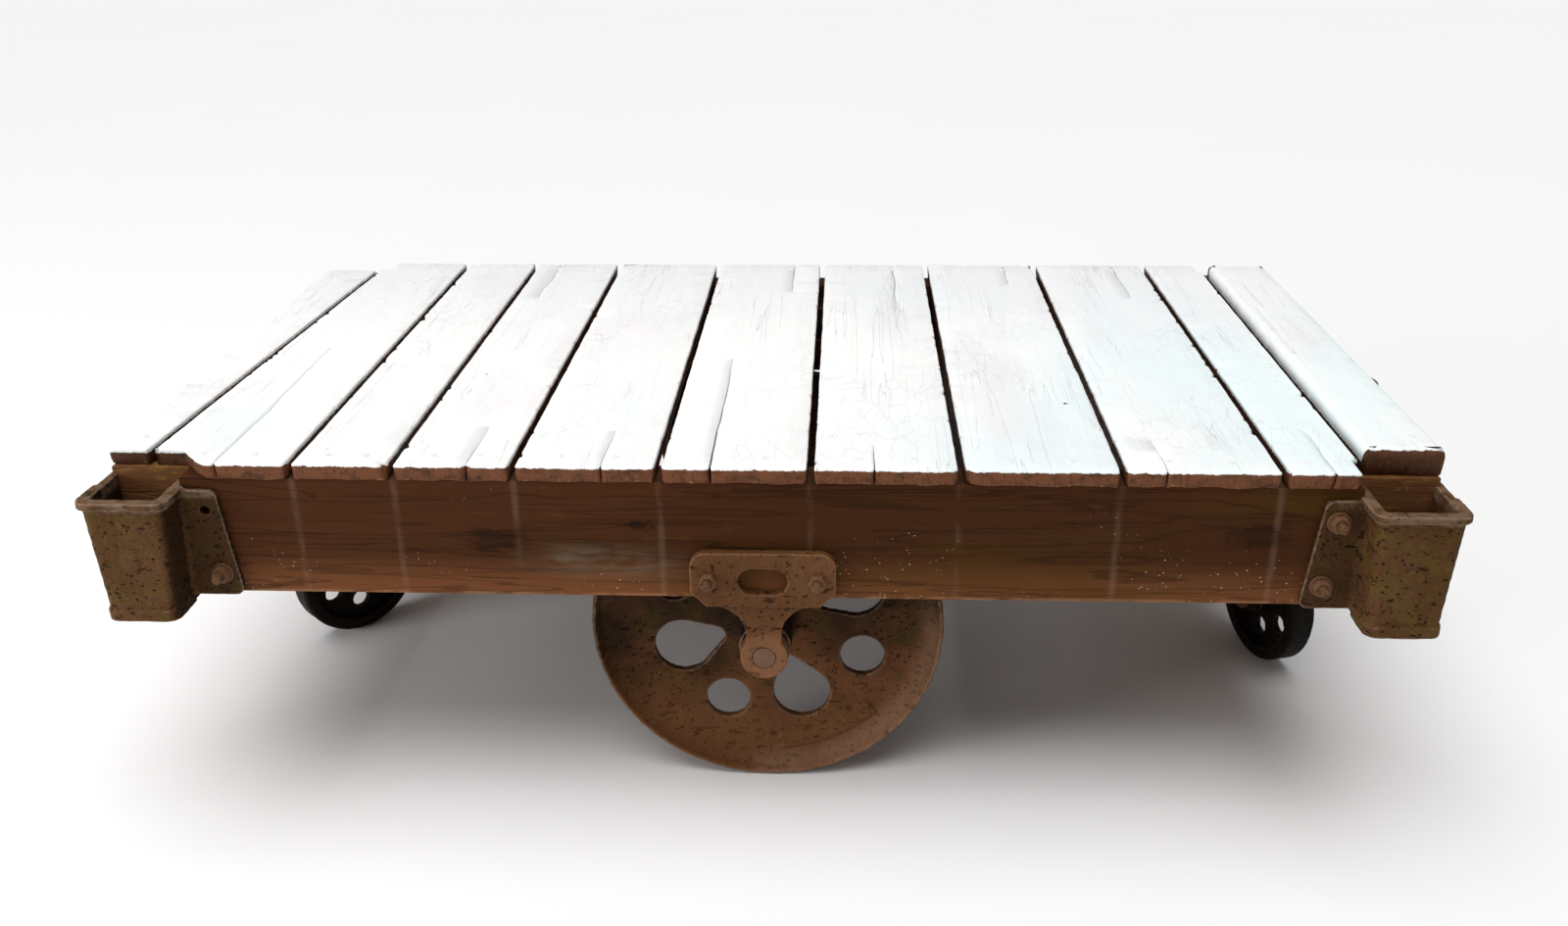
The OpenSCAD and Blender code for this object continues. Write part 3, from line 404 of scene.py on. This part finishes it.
def streak_mask(paint):
    """A thin wandering line under each gap between boards, broken here and there."""
    lines = []
    for number, gap_x in enumerate(gap_places):
        wobble = paint.clouds((0.0, 0.0, 9.0), number * 3.1, 2) * 0.006 - 0.003
        lines.append(abs(paint.x - gap_x + wobble).rise(0.0052, 0.0004))
    return widest(lines) * paint.clouds((40.0, 4.0, 12.0), 2, 4, 0.6).rise(0.36, 0.62)


def smear_mask(paint):
    """One pale wash of old paint, low on the side beams."""
    along = abs(paint.x - SMEAR_X).rise(0.110, 0.0)
    height = abs(paint.z - (beam_low.z + SMEAR_RISE) + paint.x * 0.04).rise(0.026, 0.0)
    return along * height * paint.clouds((24.0, 24.0, 70.0), 77, 5, 0.6).rise(0.28, 0.70)


def bare_ends(paint, colour, grain):
    """Raw wood where the beam is cut back behind a stake pocket."""
    cut = (abs(paint.x) - REBATE_FROM).rise(0.0, 0.001)
    inner_face = (INNER_FACE_FROM - abs(paint.y)).rise(-0.001, 0.001)
    yellow = paint.clouds((60.0, 60.0, 130.0), 15, 5).rise(0.52, 0.64)
    wood = paint.layers(shade("8a5c3c"), (grain, shade("5a3820")), (yellow * 0.55, shade("93733a")))
    return paint.mix(cut * inner_face * 0.8, colour, wood)


def frame_paint(name, along="x", streaks=False):
    """Weathered red-brown paint whose grain runs along x or y."""
    paint = Finish(name, 0.05)

    def grained(long, across):
        return (long, across, across) if along == "x" else (across, long, across)

    grain = paint.clouds(grained(5.0, 150.0), 3, 6, 0.62, 0.4)
    fine = paint.clouds(grained(26.0, 900.0), 8, 4, 0.6)
    broad = paint.clouds(grained(1.6, 7.0), 12, 4)
    olive = (paint.clouds(grained(2.2, 9.0), 21, 4) + paint.x * 0.10).rise(0.50, 0.68)
    # painted light and shade: the beam is painted lighter low down and darker up under the deck
    painted_light_low = (paint.z - beam_low.z).rise(0.050, 0.004)
    figure = abs(paint.clouds(grained(3.0, 46.0), 30, 4, 0.5, 0.9) - 0.5).rise(0.022, 0.004)
    scuff = paint.clouds(grained(20.0, 120.0), 44, 5, 0.65).rise(0.62, 0.72)
    low_half = (paint.z - beam_low.z).rise(0.085, 0.004)
    sprayed = (paint.clouds((7.0, 7.0, 12.0), 61, 4, 0.6) + low_half * 0.13).rise(0.60, 0.74)
    drops = paint.cells((150.0, 150.0, 240.0), 5) + paint.clouds(500.0, 9, 2) * 0.3
    specks = drops.rise(0.27, 0.22) * sprayed
    colour = paint.layers(
        shade("402411"), (broad.rise(0.42, 0.66), shade("4b2a15")), (painted_light_low * 0.8, shade("74482b")),
        (olive * 0.6, shade("463008")), (grain.rise(0.50, 0.72) * 0.6, shade("2b1708")),
        (figure * 0.4, shade("1c0e06")), (scuff * 0.14, shade("7d5836")),
        (fine.rise(0.55, 0.75) * 0.2, shade("65422a")))
    if streaks:
        colour = paint.layers(colour, (streak_mask(paint) * 0.12, shade("a58f7c")),
                              (smear_mask(paint) * 0.38, shade("857f6a")))
        colour = bare_ends(paint, colour, grain)
    if along == "x":
        colour = paint.mix(knot_mask(paint) * (grain * 1.1 + 0.05), colour, shade("1a0c04"))
    colour = paint.mix(specks * 0.85, colour, shade("cfc3ad"))
    corner = (paint.z - beam_low.z).rise(0.0042, 0.0008)
    rubbed = corner * paint.clouds((30.0, 30.0, 60.0), 13, 4).rise(0.40, 0.56)
    colour = paint.mix(rubbed * 0.7, colour, shade("946a4a"))
    rough = 0.50 + grain * 0.16 + scuff * 0.1
    return paint.finish(colour, rough, (grain + fine * 0.4, 0.0007), (1 - figure * 0.8, 0.0005))


side_finish = frame_paint("frame_paint_long", "x", streaks=True)
cross_finish = frame_paint("frame_paint_cross", "y")

# %% [markdown]
# ## Old iron
#
# All the castings are the same stuff in different lights: sand-cast iron under brown paint and
# rust. Its skin is grainy, hollows hold dark dirt, and corners are rubbed to a lighter metal
# brown. `Pointiness` tells convex corners from hollows, so both kinds of wear follow the shape.
# Some coats belong to a place instead: painted shade under the deck and on the pockets' flanges and
# right-facing sides, warm rust and painted light low on the wheels and inside their lips, a rim
# rubbed by stakes, the joint round the axle. Those coats come from small functions, one for each
# kind of casting.


# %% Iron finishes
def old_iron(name, ground, warm, olive, worn, dirt, olive_share=0.5, rough=0.55, grit=1.0,
             marks=lambda paint: ()):
    """Sand-cast iron: a ground colour with warm and olive clouds, rubbed corners and dirty pits.

    marks returns a few more coats, which belong to certain places on the casting.
    """
    paint = Finish(name, 0.08)
    warm_share = paint.clouds(9.0, 2, 4).rise(0.40, 0.62)
    patches = paint.clouds(38.0, 14, 6, 0.65)
    skin = paint.clouds(420.0, 31, 4, 0.6)
    lumps = paint.clouds(130.0, 37, 4, 0.6)
    pit_field = paint.cells(150.0, 3) + paint.clouds(260.0, 19, 3) * 0.35
    pits = (pit_field.rise(0.42, 0.32) * paint.clouds(30.0, 55, 3).rise(0.40, 0.54)).larger(
        paint.clouds((70.0, 70.0, 190.0), 66, 5, 0.65).rise(0.60, 0.67))
    hollow = paint.point.rise(0.492, 0.455)
    corner = paint.point.rise(0.515, 0.560)
    colour = paint.layers(
        shade(ground), (warm_share * 0.8, shade(warm)),
        (patches.rise(0.48, 0.62) * olive_share, shade(olive)),
        (skin.rise(0.50, 0.72) * 0.35, shade(dirt)), (hollow * 0.8, shade(dirt)),
        (pits * 0.85, shade(dirt)),
        *marks(paint), (corner * (0.35 + lumps * 0.9), shade(worn)))
    return paint.finish(colour, rough + skin * 0.14 - corner * 0.08, (skin, 0.0005 * grit),
                        (lumps - pits, 0.0013 * grit))


FLANGE_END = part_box("stake_pocket_front_right")[0].x + 0.045
POCKET_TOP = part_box("stake_pocket_front_right")[1].z
AXLE_Z = (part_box("wheel_front")[0].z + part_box("wheel_front")[1].z) / 2
AXLE_R = (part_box("axle")[1].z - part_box("axle")[0].z) / 2


def from_axle(paint):
    """The distance from the big wheels' axle, measured in the plane of a wheel."""
    flat = paint.node("ShaderNodeCombineXYZ", {}, {0: paint.x, 1: 0.0, 2: paint.z - AXLE_Z})
    return paint.node("ShaderNodeVectorMath", {"operation": "LENGTH"}, {0: flat}, 1)


def pocket_marks(paint):
    """Painted shade on the flanges and on the faces that look right, away from the lamp, and a rim rubbed
    by the stakes.
    """
    # painted shade on the flange, where it runs in along the beam
    flange_painted_shade = (abs(paint.x) - FLANGE_END).rise(0.004, -0.004)
    normal = paint.node("ShaderNodeNewGeometry", out="Normal")
    # painted shade on faces that look right (+X), away from the lamp at the left
    painted_shade_facing_right = paint.node("ShaderNodeSeparateXYZ", {}, {0: normal})
    rim = (paint.z - POCKET_TOP).rise(-0.013, -0.009) * paint.clouds(60.0, 5, 4).rise(0.35, 0.60)
    return ((flange_painted_shade * 0.5, shade("1c0e03")), (painted_shade_facing_right.rise(0.5, 0.9) * 0.7, shade("1c0e03")),
            (rim * 0.6, shade("7f6857")))


def hanger_marks(paint):
    """A paler boss, and a dark joint round the axle's end."""
    away = from_axle(paint)
    return ((away.rise(0.032, 0.020) * 0.45, shade("8c6245")),
            (abs(away - AXLE_R).rise(0.0014, 0.0005) * 0.85, shade("170c05")))


def wheel_marks(paint):
    """Warm rust low down, partly painted light; near-black painted shade under the deck; painted light on a
    band inside the lip, strongest where it faces the lamp; and darker round the hub.
    """
    away = from_axle(paint)
    # warm rust on the lower wheel, and partly painted light there, below the deck's shade
    low_down = (paint.z - AXLE_Z + 0.085).rise(0.05, -0.05)
    # painted shade: the wheel turns near black where it stands under the deck
    painted_shade_under_deck = (paint.z - beam_low.z).rise(-0.085, -0.012)
    hub = away.rise(0.036, 0.029)
    # painted light: a paler band inside the lip, strongest towards +X, where the lip faces the lamp at the
    # left
    lip_painted_light = away.rise(0.146, 0.168) * (paint.clouds(16.0, 47, 4) + paint.x * 0.9).rise(0.40, 0.62)
    return ((low_down * 0.65, shade("754c2e")), (lip_painted_light * 0.6, shade("80604b")),
            (painted_shade_under_deck * 0.85, shade("120803")), (hub * 0.7, shade("120803")))


pocket_finish = old_iron("pocket_iron", "53381b", "60402a", "5c4820", "8d7464", "1c0e03", 0.7,
                         grit=1.6, marks=pocket_marks)
hanger_finish = old_iron("hanger_iron", "5e3d24", "714b31", "5b401f", "8f6647", "27150a", 0.3,
                         marks=hanger_marks)
wheel_finish = old_iron("wheel_iron", "332010", "6b4328", "44350f", "8d6c55", "0f0602", 0.6,
                        marks=wheel_marks)
caster_finish = old_iron("caster_iron", "110e0a", "21170f", "19150d", "4d4138", "030201", 0.4, rough=0.5)
fastener_finish = old_iron("fastener_iron", "53371f", "654530", "4e381b", "70523c", "190d05", 0.3,
                           rough=0.5, grit=0.6)


def worn_steel(name, ground, dirt, rough, metal):
    """Machined metal gone dull: fine turning lines, brown film, bright patches."""
    paint = Finish(name)
    lines = paint.clouds((60.0, 1200.0, 60.0), 4, 3)
    film = paint.clouds(40.0, 22, 5).rise(0.38, 0.66)
    colour = paint.layers(shade(ground), (film * 0.8, shade(dirt)))
    return paint.finish(colour, rough + film * 0.2, (lines, 0.00012), metal=(1 - film * 0.7) * metal)


axle_finish = worn_steel("axle_steel", "70513a", "5f4029", 0.48, 0.2)
bronze_finish = worn_steel("bushing_bronze", "a88455", "54391c", 0.34, 0.9)

# %% [markdown]
# ## Boards from their outlines
#
# A board is a lofted solid: its outline drawn again at several heights, each ring pulled in a
# little to round the edges. We take the outline from the frame, so the gaps and corner notches
# are already right, then wear it in code. Points are added every few millimetres and pushed
# inwards by noise, corners are cut, chips widen the top edge, and long splits are narrow
# notches that run in from an end. Cutting the finished board by a few planes gives the top
# enough points to cup and ripple.


# %% Outline helpers
def welded(node):
    """A bmesh of a CAD node with its split corners joined again."""
    mesh = bmesh.new()
    mesh.from_mesh(frame["nodes"][node].data)
    bmesh.ops.remove_doubles(mesh, verts=mesh.verts, dist=0.00002)
    return mesh


def floor_outline(node):
    """The outer outline of a node's flat underside, anticlockwise seen from above, as (x, y)."""
    mesh = welded(node)
    bottom = min(v.co.z for v in mesh.verts) + 0.0001
    under = {f for f in mesh.faces if f.normal.z < -0.99 and f.calc_center_median().z < bottom}
    rim = {}
    for face in under:
        for loop in face.loops:
            if not all(f in under for f in loop.edge.link_faces):
                rim[loop.vert.index] = (loop.link_loop_next.vert.index, loop.vert.co.copy())
    outlines = []
    while rim:
        key, points = next(iter(rim)), []
        while key in rim:
            key, place = rim.pop(key)
            points.append((place.x, place.y))
        outlines.append(points)
    mesh.free()
    longest = max(outlines, key=lambda pts: max(p[0] for p in pts) - min(p[0] for p in pts))
    return longest[::-1]


def ripple(x, y, size, seed):
    """Smooth noise between about -1 and 1 that changes over a length of size metres."""
    return noise.noise(Vector((x / size, y / size, seed * 7.31)))


def walk(outline, step):
    """The outline with points added, about a step apart."""
    walked = []
    for (ax, ay), (bx, by) in zip(outline, outline[1:] + outline[:1]):
        parts = max(1, round(math.hypot(bx - ax, by - ay) / step))
        walked += [(ax + (bx - ax) * i / parts, ay + (by - ay) * i / parts) for i in range(parts)]
    return walked


def inward(points):
    """For each point of an anticlockwise ring, the direction that leads into the board."""
    found = []
    for i, (x, y) in enumerate(points):
        before, after = points[i - 1], points[(i + 1) % len(points)]
        a = Vector((x - before[0], y - before[1])).normalized()
        b = Vector((after[0] - x, after[1] - y)).normalized()
        along = a + b
        if along.length < 1e-6:
            along = Vector((-a.y, a.x))
        along.normalize()
        reach = 1 / max(0.5, abs(along.dot(a)))
        found.append(Vector((-along.y, along.x)) * reach)
    return found


# %% Splits and cut corners
# A split is a place along X, the end it starts from (-1 is the front), a length and a width in mm
SPLITS = {
    "plank_02": [(-0.507, -1, 0.33, 0.8)], "plank_04": [(-0.272, -1, 0.10, 0.9), (-0.31, 1, 0.16, 0.7)],
    "plank_05": [(-0.147, -1, 0.09, 0.8)], "plank_06": [(-0.047, -1, 0.30, 1.7), (0.008, 1, 0.13, 0.8)],
    "plank_07": [(0.103, -1, 0.06, 0.9), (0.138, 1, 0.20, 0.8)], "plank_08": [(0.285, 1, 0.09, 0.8)],
    "plank_09": [(0.366, -1, 0.07, 0.8), (0.43, 1, 0.15, 0.9)], "plank_10": [(0.515, -1, 0.10, 0.9)],
}
CORNER_CUTS = {"plank_08": {(-1, -1): 0.011}, "plank_07": {(1, -1): 0.005}, "plank_05": {(-1, -1): 0.004},
               "plank_06": {(-1, -1): 0.006}, "plank_03": {(1, -1): 0.005}}


def with_split(outline, x, end, length, width, seed):
    """The outline with a narrow wandering notch cut in from the front (end -1) or rear (end 1)."""
    edge_y = end * max(end * p[1] for p in outline)
    steps = max(4, int(length / 0.018))

    def wall(side):
        points = []
        for i in range(steps + 1):
            t = i / steps
            drift = ripple(t * length, seed, 0.05, seed) * 0.0035 * min(1, t * 3)
            half = width * MM / 2 * (1 - t) ** 0.7 + 0.00002
            points.append((x + drift + side * half, edge_y - end * t * length))
        return points

    notch = wall(end) + wall(-end)[::-1][1:]
    for i, (a, b) in enumerate(zip(outline, outline[1:] + outline[:1])):
        on_edge = abs(a[1] - edge_y) < 0.0005 and abs(b[1] - edge_y) < 0.0005
        if on_edge and min(a[0], b[0]) < x - 0.004 and x + 0.004 < max(a[0], b[0]):
            return outline[:i + 1] + notch + outline[i + 1:]
    return outline


def with_cut_corners(outline, cuts):
    """The outline with its four outermost corners cut off by a few millimetres."""
    xs, ys = [p[0] for p in outline], [p[1] for p in outline]
    mid = ((min(xs) + max(xs)) / 2, (min(ys) + max(ys)) / 2)
    result = []
    for i, (x, y) in enumerate(outline):
        before, after = outline[i - 1], outline[(i + 1) % len(outline)]
        sides = (1 if x > mid[0] else -1, 1 if y > mid[1] else -1)
        at_end = abs(abs(y - mid[1]) - (max(ys) - mid[1])) < 0.001
        size = cuts.get(sides, random.uniform(0.0015, 0.004)) if at_end else 0.001
        to_before, to_after = Vector(before) - Vector((x, y)), Vector(after) - Vector((x, y))
        if min(to_before.length, to_after.length) < size * 2.5:
            result.append((x, y))
            continue
        a = Vector((x, y)) + to_before.normalized() * size
        b = Vector((x, y)) + to_after.normalized() * size
        bend = Vector((x, y)) * 0.35 + (a + b) * 0.325
        result += [tuple(a), tuple(bend), tuple(b)]
    return result


# %% Wear on a board's outline
WALK_STEP = 0.0045
ROUND_TOP, ROUND_RAISED_TOP = 0.0018, 0.0075
CUT_STEPS = (0.017, 0.022)
SPLIT_SHOULDER = 0.030


def in_split(node, half_y, x, y, reach=0.007):
    """Whether a point lies within reach of a split, where the wood is hardly worn."""
    return any(abs(x - at) < reach and 0.003 < half_y - end * y < length + reach - 0.006
               for at, end, length, _ in SPLITS.get(node, []))


def board_wear(points, node, seed, low, high):
    """For each point, how far it is pulled in by wear, by chips and by rot at the ends."""
    half_y, mid_y = (high.y - low.y) / 2, (low.y + high.y) / 2
    worn = []
    for x, y in points:
        share = 0.0 if in_split(node, half_y, x, y) else 1.0
        rough = 0.00035 + 0.0005 * (1 + ripple(x, y, 0.03, seed))
        rough += 0.0003 * (1 + ripple(x, y, 0.006, seed))
        chip = max(0.0, ripple(x, y, 0.011, seed + 50) - 0.36) * 0.013
        near_end = max(0.0, 1 - (half_y - abs(y - mid_y)) / 0.012)
        rot = near_end * 0.0035 * (1 + ripple(x, y, 0.02, seed + 9))
        worn.append((0.00003 + share * rough, share * chip, share * rot))
    return worn


def board_rings(points, worn, low, high, round_top, seed):
    """The rings of a board, from its underside to its rounded top edge."""
    ways = inward(points)

    def ring(height, pull, chip_share, rot_share, wave=0.0):
        made = []
        for (x, y), way, (wear, chip, rot) in zip(points, ways, worn):
            depth = wear + pull * (0.15 if wear < 0.0001 else 1.0) + chip * chip_share + rot * rot_share
            z = height - chip * chip_share * 0.25 + wave * ripple(x, y, 0.02, seed + 4)
            made.append((x + way.x * depth, y + way.y * depth, z))
        return made

    rings = [ring(low.z, 0.0010, 0, 1.0), ring(low.z + 0.0012, 0.0, 0, 0.55),
             ring(low.z + (high.z - low.z) * 0.4, 0.0, 0, 0.1),
             ring(high.z - round_top - 0.0025, 0.0, 0.2, 0, 0.0006)]
    for k, angle in enumerate(np.radians([0, 30, 60, 90])):
        pull, drop = round_top * (1 - math.cos(angle)), round_top * (1 - math.sin(angle))
        rings.append(ring(high.z - drop - 0.0001, pull, 1.0 if k else 0.7, 0))
    return rings


# %% Loft one board
def loft(rings):
    """A closed mesh from rings of equal length, each a list of (x, y, z), lowest first."""
    mesh = bmesh.new()
    layers = [[mesh.verts.new(p) for p in ring] for ring in rings]
    count = len(rings[0])
    for low, high in zip(layers, layers[1:]):
        for i in range(count):
            j = (i + 1) % count
            mesh.faces.new((low[i], low[j], high[j], high[i]))
    mesh.faces.new(layers[0][::-1])
    mesh.faces.new(layers[-1])
    for face in mesh.faces:
        face.smooth = True
    return mesh


def cut_top(mesh, low, high):
    """Cuts the flat top both ways, a little unevenly, so that it has points enough to cup."""
    for axis, step in enumerate(CUT_STEPS):
        direction = Vector((axis == 0, axis == 1, 0))
        for k in range(1, int((high[axis] - low[axis]) / step)):
            at = Vector((0, 0, 0))
            at[axis] = low[axis] + k * step + random.uniform(-0.002, 0.002)
            lid = [f for f in mesh.faces if f.normal.z > 0.9 and f.calc_center_median().z > high.z - 0.001]
            parts = list({v for f in lid for v in f.verts}) + list({e for f in lid for e in f.edges}) + lid
            bmesh.ops.bisect_plane(mesh, geom=parts, plane_co=at, plane_no=direction, dist=0.0002)


def settle_top(mesh, rim, node, low, high, seed):
    """Lets the middle of the top sink by a fraction of a millimetre, but not beside a split."""
    middle, half_y = (low.x + high.x) / 2, (high.y - low.y) / 2
    for v in mesh.verts:
        if v.co.z <= high.z - 0.0006 or v in rim or in_split(node, half_y, v.co.x, v.co.y, SPLIT_SHOULDER):
            continue
        across = (v.co.x - middle) / (high.x - low.x)
        cup = 0.0005 * (across * across * 4 - 1)
        v.co.z += min(0.0, cup * 0.5 - 0.0002 + 0.00015 * ripple(v.co.x, v.co.y, 0.05, seed))


def old_board(node, finish, seed):
    """One worn board that stands for a CAD plank."""
    low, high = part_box(node)
    outline = with_cut_corners(floor_outline(node), CORNER_CUTS.get(node, {}))
    for split in SPLITS.get(node, []):
        outline = with_split(outline, *split, seed)
    points = walk(outline, WALK_STEP)
    round_top = ROUND_RAISED_TOP if node == "plank_11" else ROUND_TOP
    worn = board_wear(points, node, seed, low, high)
    mesh = loft(board_rings(points, worn, low, high, round_top, seed))
    edge_mark = mesh.verts.layers.float.new("edge")
    rim = {v for v in mesh.verts if v.co.z > high.z - round_top - 0.0012}
    for v in rim:
        v[edge_mark] = 1.0
    cut_top(mesh, low, high)
    settle_top(mesh, rim, node, low, high, seed)
    data = bpy.data.meshes.new("board_" + node[-2:])
    bmesh.ops.recalc_face_normals(mesh, faces=mesh.faces)
    mesh.to_mesh(data)
    mesh.free()
    number = data.attributes.new("board", "FLOAT", "POINT")
    number.data.foreach_set("value", [(seed * 0.37) % 1.0] * len(data.vertices))
    board = bpy.data.objects.new(data.name, data)
    bpy.context.scene.collection.objects.link(board)
    data.materials.append(finish)
    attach(board, "cart_frame")
    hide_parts(node)
    return board


for seed, node in enumerate(board_names, start=1):
    board = old_board(node, raised_finish if node == "plank_11" else board_finish, seed)
    print(board.name, len(board.data.vertices), "points")

# %% [markdown]
# ## Castings with soft skins
#
# Iron poured in sand has no sharp corner anywhere. Rather than bevelling dozens of edges, we
# copy the CAD mesh, rebuild it from small voxels, smooth it a little and push the skin in by
# noise. Everything a mould would round is then round, and a bolt hole stays a hole. The voxel
# size is chosen per casting: small where the eye comes close, larger on big plain shapes.

# %% Cast a node
JOINTED = {n: body for body, names in frame["record"]["behaviour"]["bodies"].items() for n in names}


def applied(thing):
    """Replaces a mesh by what its modifiers make of it."""
    graph = bpy.context.evaluated_depsgraph_get()
    made = bpy.data.meshes.new_from_object(thing.evaluated_get(graph))
    thing.modifiers.clear()
    old, thing.data = thing.data, made
    bpy.data.meshes.remove(old)
    return thing


def stand_in(name, mesh, node, finish):
    """Puts a new mesh where a CAD node was, on the same body, with the given finish."""
    piece = bpy.data.objects.new(name, mesh)
    bpy.context.scene.collection.objects.link(piece)
    mesh.materials.clear()
    mesh.materials.append(finish)
    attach(piece, JOINTED[node])
    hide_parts(node)
    return piece


def cast(node, finish, voxel, smooth=4, grit=0.25, extra=None):
    """A soft-edged casting made from a CAD node. grit is the skin's roughness in millimetres."""
    shape = welded(node)
    if extra:
        extra(shape)
    mesh = bpy.data.meshes.new("cast_" + node)
    shape.to_mesh(mesh)
    shape.free()
    low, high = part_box(node)
    piece = stand_in("cast_" + node, mesh, node, finish)
    rebuild = piece.modifiers.new("rebuild", "REMESH")
    rebuild.mode, rebuild.voxel_size, rebuild.adaptivity = "VOXEL", voxel * MM, 0.0
    soften = piece.modifiers.new("soften", "SMOOTH")
    soften.factor, soften.iterations = 0.5, smooth
    applied(piece)
    data = piece.data
    count = len(data.vertices)
    places, ways = np.empty(count * 3, np.float32), np.empty(count * 3, np.float32)
    data.vertices.foreach_get("co", places)
    data.vertices.foreach_get("normal", ways)
    places, ways = places.reshape(-1, 3), ways.reshape(-1, 3)
    push = np.array([
        noise.noise(Vector(p) / 0.009) + 0.6 * noise.noise(Vector(p) / 0.0035) for p in places])
    places += ways * ((push - 0.6) * grit * MM)[:, None]
    places = np.clip(places, np.array(low), np.array(high))
    data.vertices.foreach_set("co", places.ravel().astype(np.float32))
    data.polygons.foreach_set("use_smooth", [True] * len(data.polygons))
    data.update()
    print(piece.name, count, "points")


# %% Large wheels, with a plain raised pad on the rim's dish
DISH_START, DISH_END = 0.1205, 0.1705
FACE_Y, LIP_Y = 0.265, 0.283
PAD_RADII = np.linspace(0.136, 0.152, 5)
PAD_ANGLES = np.radians(np.linspace(-86, -44, 22))
PAD_DEPTH, PAD_RISE = 0.006, 0.0036


def name_pad(shape, side):
    """A slim raised arc on the wheel's dish, where a foundry puts its name. Ours is plain."""
    axle_z = (min(v.co.z for v in shape.verts) + max(v.co.z for v in shape.verts)) / 2
    made = []
    for angle in PAD_ANGLES:
        row = []
        for r in PAD_RADII:
            climb = min(1.0, max(0.0, (r - DISH_START) / (DISH_END - DISH_START)))
            y = FACE_Y + (LIP_Y - FACE_Y) * (1 - math.sqrt(1 - climb * climb))
            x, z = r * math.cos(angle), axle_z + r * math.sin(angle)
            row.append([shape.verts.new((x, side * (y + rise), z)) for rise in (-PAD_DEPTH, PAD_RISE)])
        made.append(row)
    for a, b in zip(made, made[1:]):
        for k in range(len(PAD_RADII) - 1):
            for face in (0, 1):
                shape.faces.new((a[k][face], b[k][face], b[k + 1][face], a[k + 1][face]))
        for k in (0, -1):
            shape.faces.new((a[k][0], b[k][0], b[k][1], a[k][1]))
    for row in (made[0], made[-1]):
        for k in range(len(PAD_RADII) - 1):
            shape.faces.new((row[k][0], row[k + 1][0], row[k + 1][1], row[k][1]))
    bmesh.ops.recalc_face_normals(shape, faces=shape.faces)


cast("wheel_front", wheel_finish, 2.0, 5, 0.35, lambda shape: name_pad(shape, -1))
cast("wheel_rear", wheel_finish, 2.4, 4, 0.35, lambda shape: name_pad(shape, 1))

# %% Pockets, hangers, lugs and caster irons
# How the name starts, the finish, the voxel at the front and elsewhere in mm, smoothing, and grit
CASTINGS = (
    ("stake_pocket", pocket_finish, 1.3, 1.7, 3, 0.4),
    ("axle_hanger", hanger_finish, 1.1, 1.5, 3, 0.25),
    (("tow_lug_left", "tow_lug_right"), pocket_finish, 1.4, 1.4, 3, 0.25),
    (("caster_wheel", "caster_fork"), caster_finish, 1.5, 1.5, 3, 0.25),
    (("caster_plate_left", "caster_plate_right"), caster_finish, 1.4, 1.4, 2, 0.15),
)
for node in sorted(frame["nodes"]):
    for starts, finish, front_voxel, other_voxel, smooth, grit in CASTINGS:
        if node.startswith(starts):
            cast(node, finish, front_voxel if "front" in node else other_voxel, smooth, grit)

# %% [markdown]
# ## Beams and small iron
#
# Sawn timber and turned steel keep crisp faces with a narrow worn corner, so a bevel is right
# for them and a voxel skin isn't. We join the CAD mesh's split corners, melt its flat triangles
# into whole faces, and bevel only the real edges.


# %% Bevel a node
REAL_EDGE = math.radians(35)


def eased(node, finish, width, segments=2):
    """A CAD node with its sharp edges eased by a width in millimetres."""
    shape = welded(node)
    bmesh.ops.dissolve_limit(shape, angle_limit=math.radians(1), verts=shape.verts, edges=shape.edges)
    sharp = [e for e in shape.edges if len(e.link_faces) == 2 and e.calc_face_angle(0) > REAL_EDGE]
    bmesh.ops.bevel(shape, geom=sharp, offset=width * MM, segments=segments, profile=0.6,
                    affect="EDGES", clamp_overlap=True)
    for face in shape.faces:
        face.smooth = True
    mesh = bpy.data.meshes.new("eased_" + node)
    shape.to_mesh(mesh)
    shape.free()
    mesh.set_sharp_from_angle(angle=math.radians(30))
    piece = stand_in("eased_" + node, mesh, node, finish)
    print(piece.name, len(mesh.vertices), "points")


for node in ("side_beam_front", "side_beam_rear"):
    eased(node, side_finish, 1.6, segments=3)
for node in ("end_beam_left", "end_beam_right", "bolster_left", "bolster_right",
             "cross_beam_left", "cross_beam_right"):
    eased(node, cross_finish, 1.6)
for node in ("pocket_nuts", "hanger_nuts", "pocket_coach_screws", "tow_lug_screws", "kingpin_nuts",
             "caster_axle_nut_left", "caster_axle_nut_right", "caster_axle_bolt_left",
             "caster_axle_bolt_right", "caster_plate_screws", "pocket_washers",
             "pocket_bolts", "hanger_bolts", "collar_screws"):
    eased(node, fastener_finish, 0.5)
eased("deck_nails", nail_finish, 0.35)
for node in ("axle", "kingpin_left", "kingpin_right"):
    eased(node, axle_finish, 0.6)
for node in ("axle_collar_front", "axle_collar_rear"):
    eased(node, caster_finish, 0.8)
for node in ("wheel_bushing_front", "wheel_bushing_rear", "caster_bushing_left", "caster_bushing_right"):
    eased(node, bronze_finish, 0.3)

# The small balls of the swivels are round already, so they only get a finish
balls = frame["nodes"]["swivel_balls"]
balls.data.materials.clear()
balls.data.materials.append(axle_finish)

# %% [markdown]
# ## Check the size
#
# The frame's box is the object's size. Nothing that we added may stand outside it, so both
# boxes are compared and the overhang is printed.

# %% Compare both boxes
look_low, look_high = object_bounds()
below = [round(max(a - b, 0) / MM, 2) for a, b in zip(cad_low, look_low)]
above = [round(max(b - a, 0) / MM, 2) for a, b in zip(cad_high, look_high)]
print("outside the frame by", below, above, "mm")
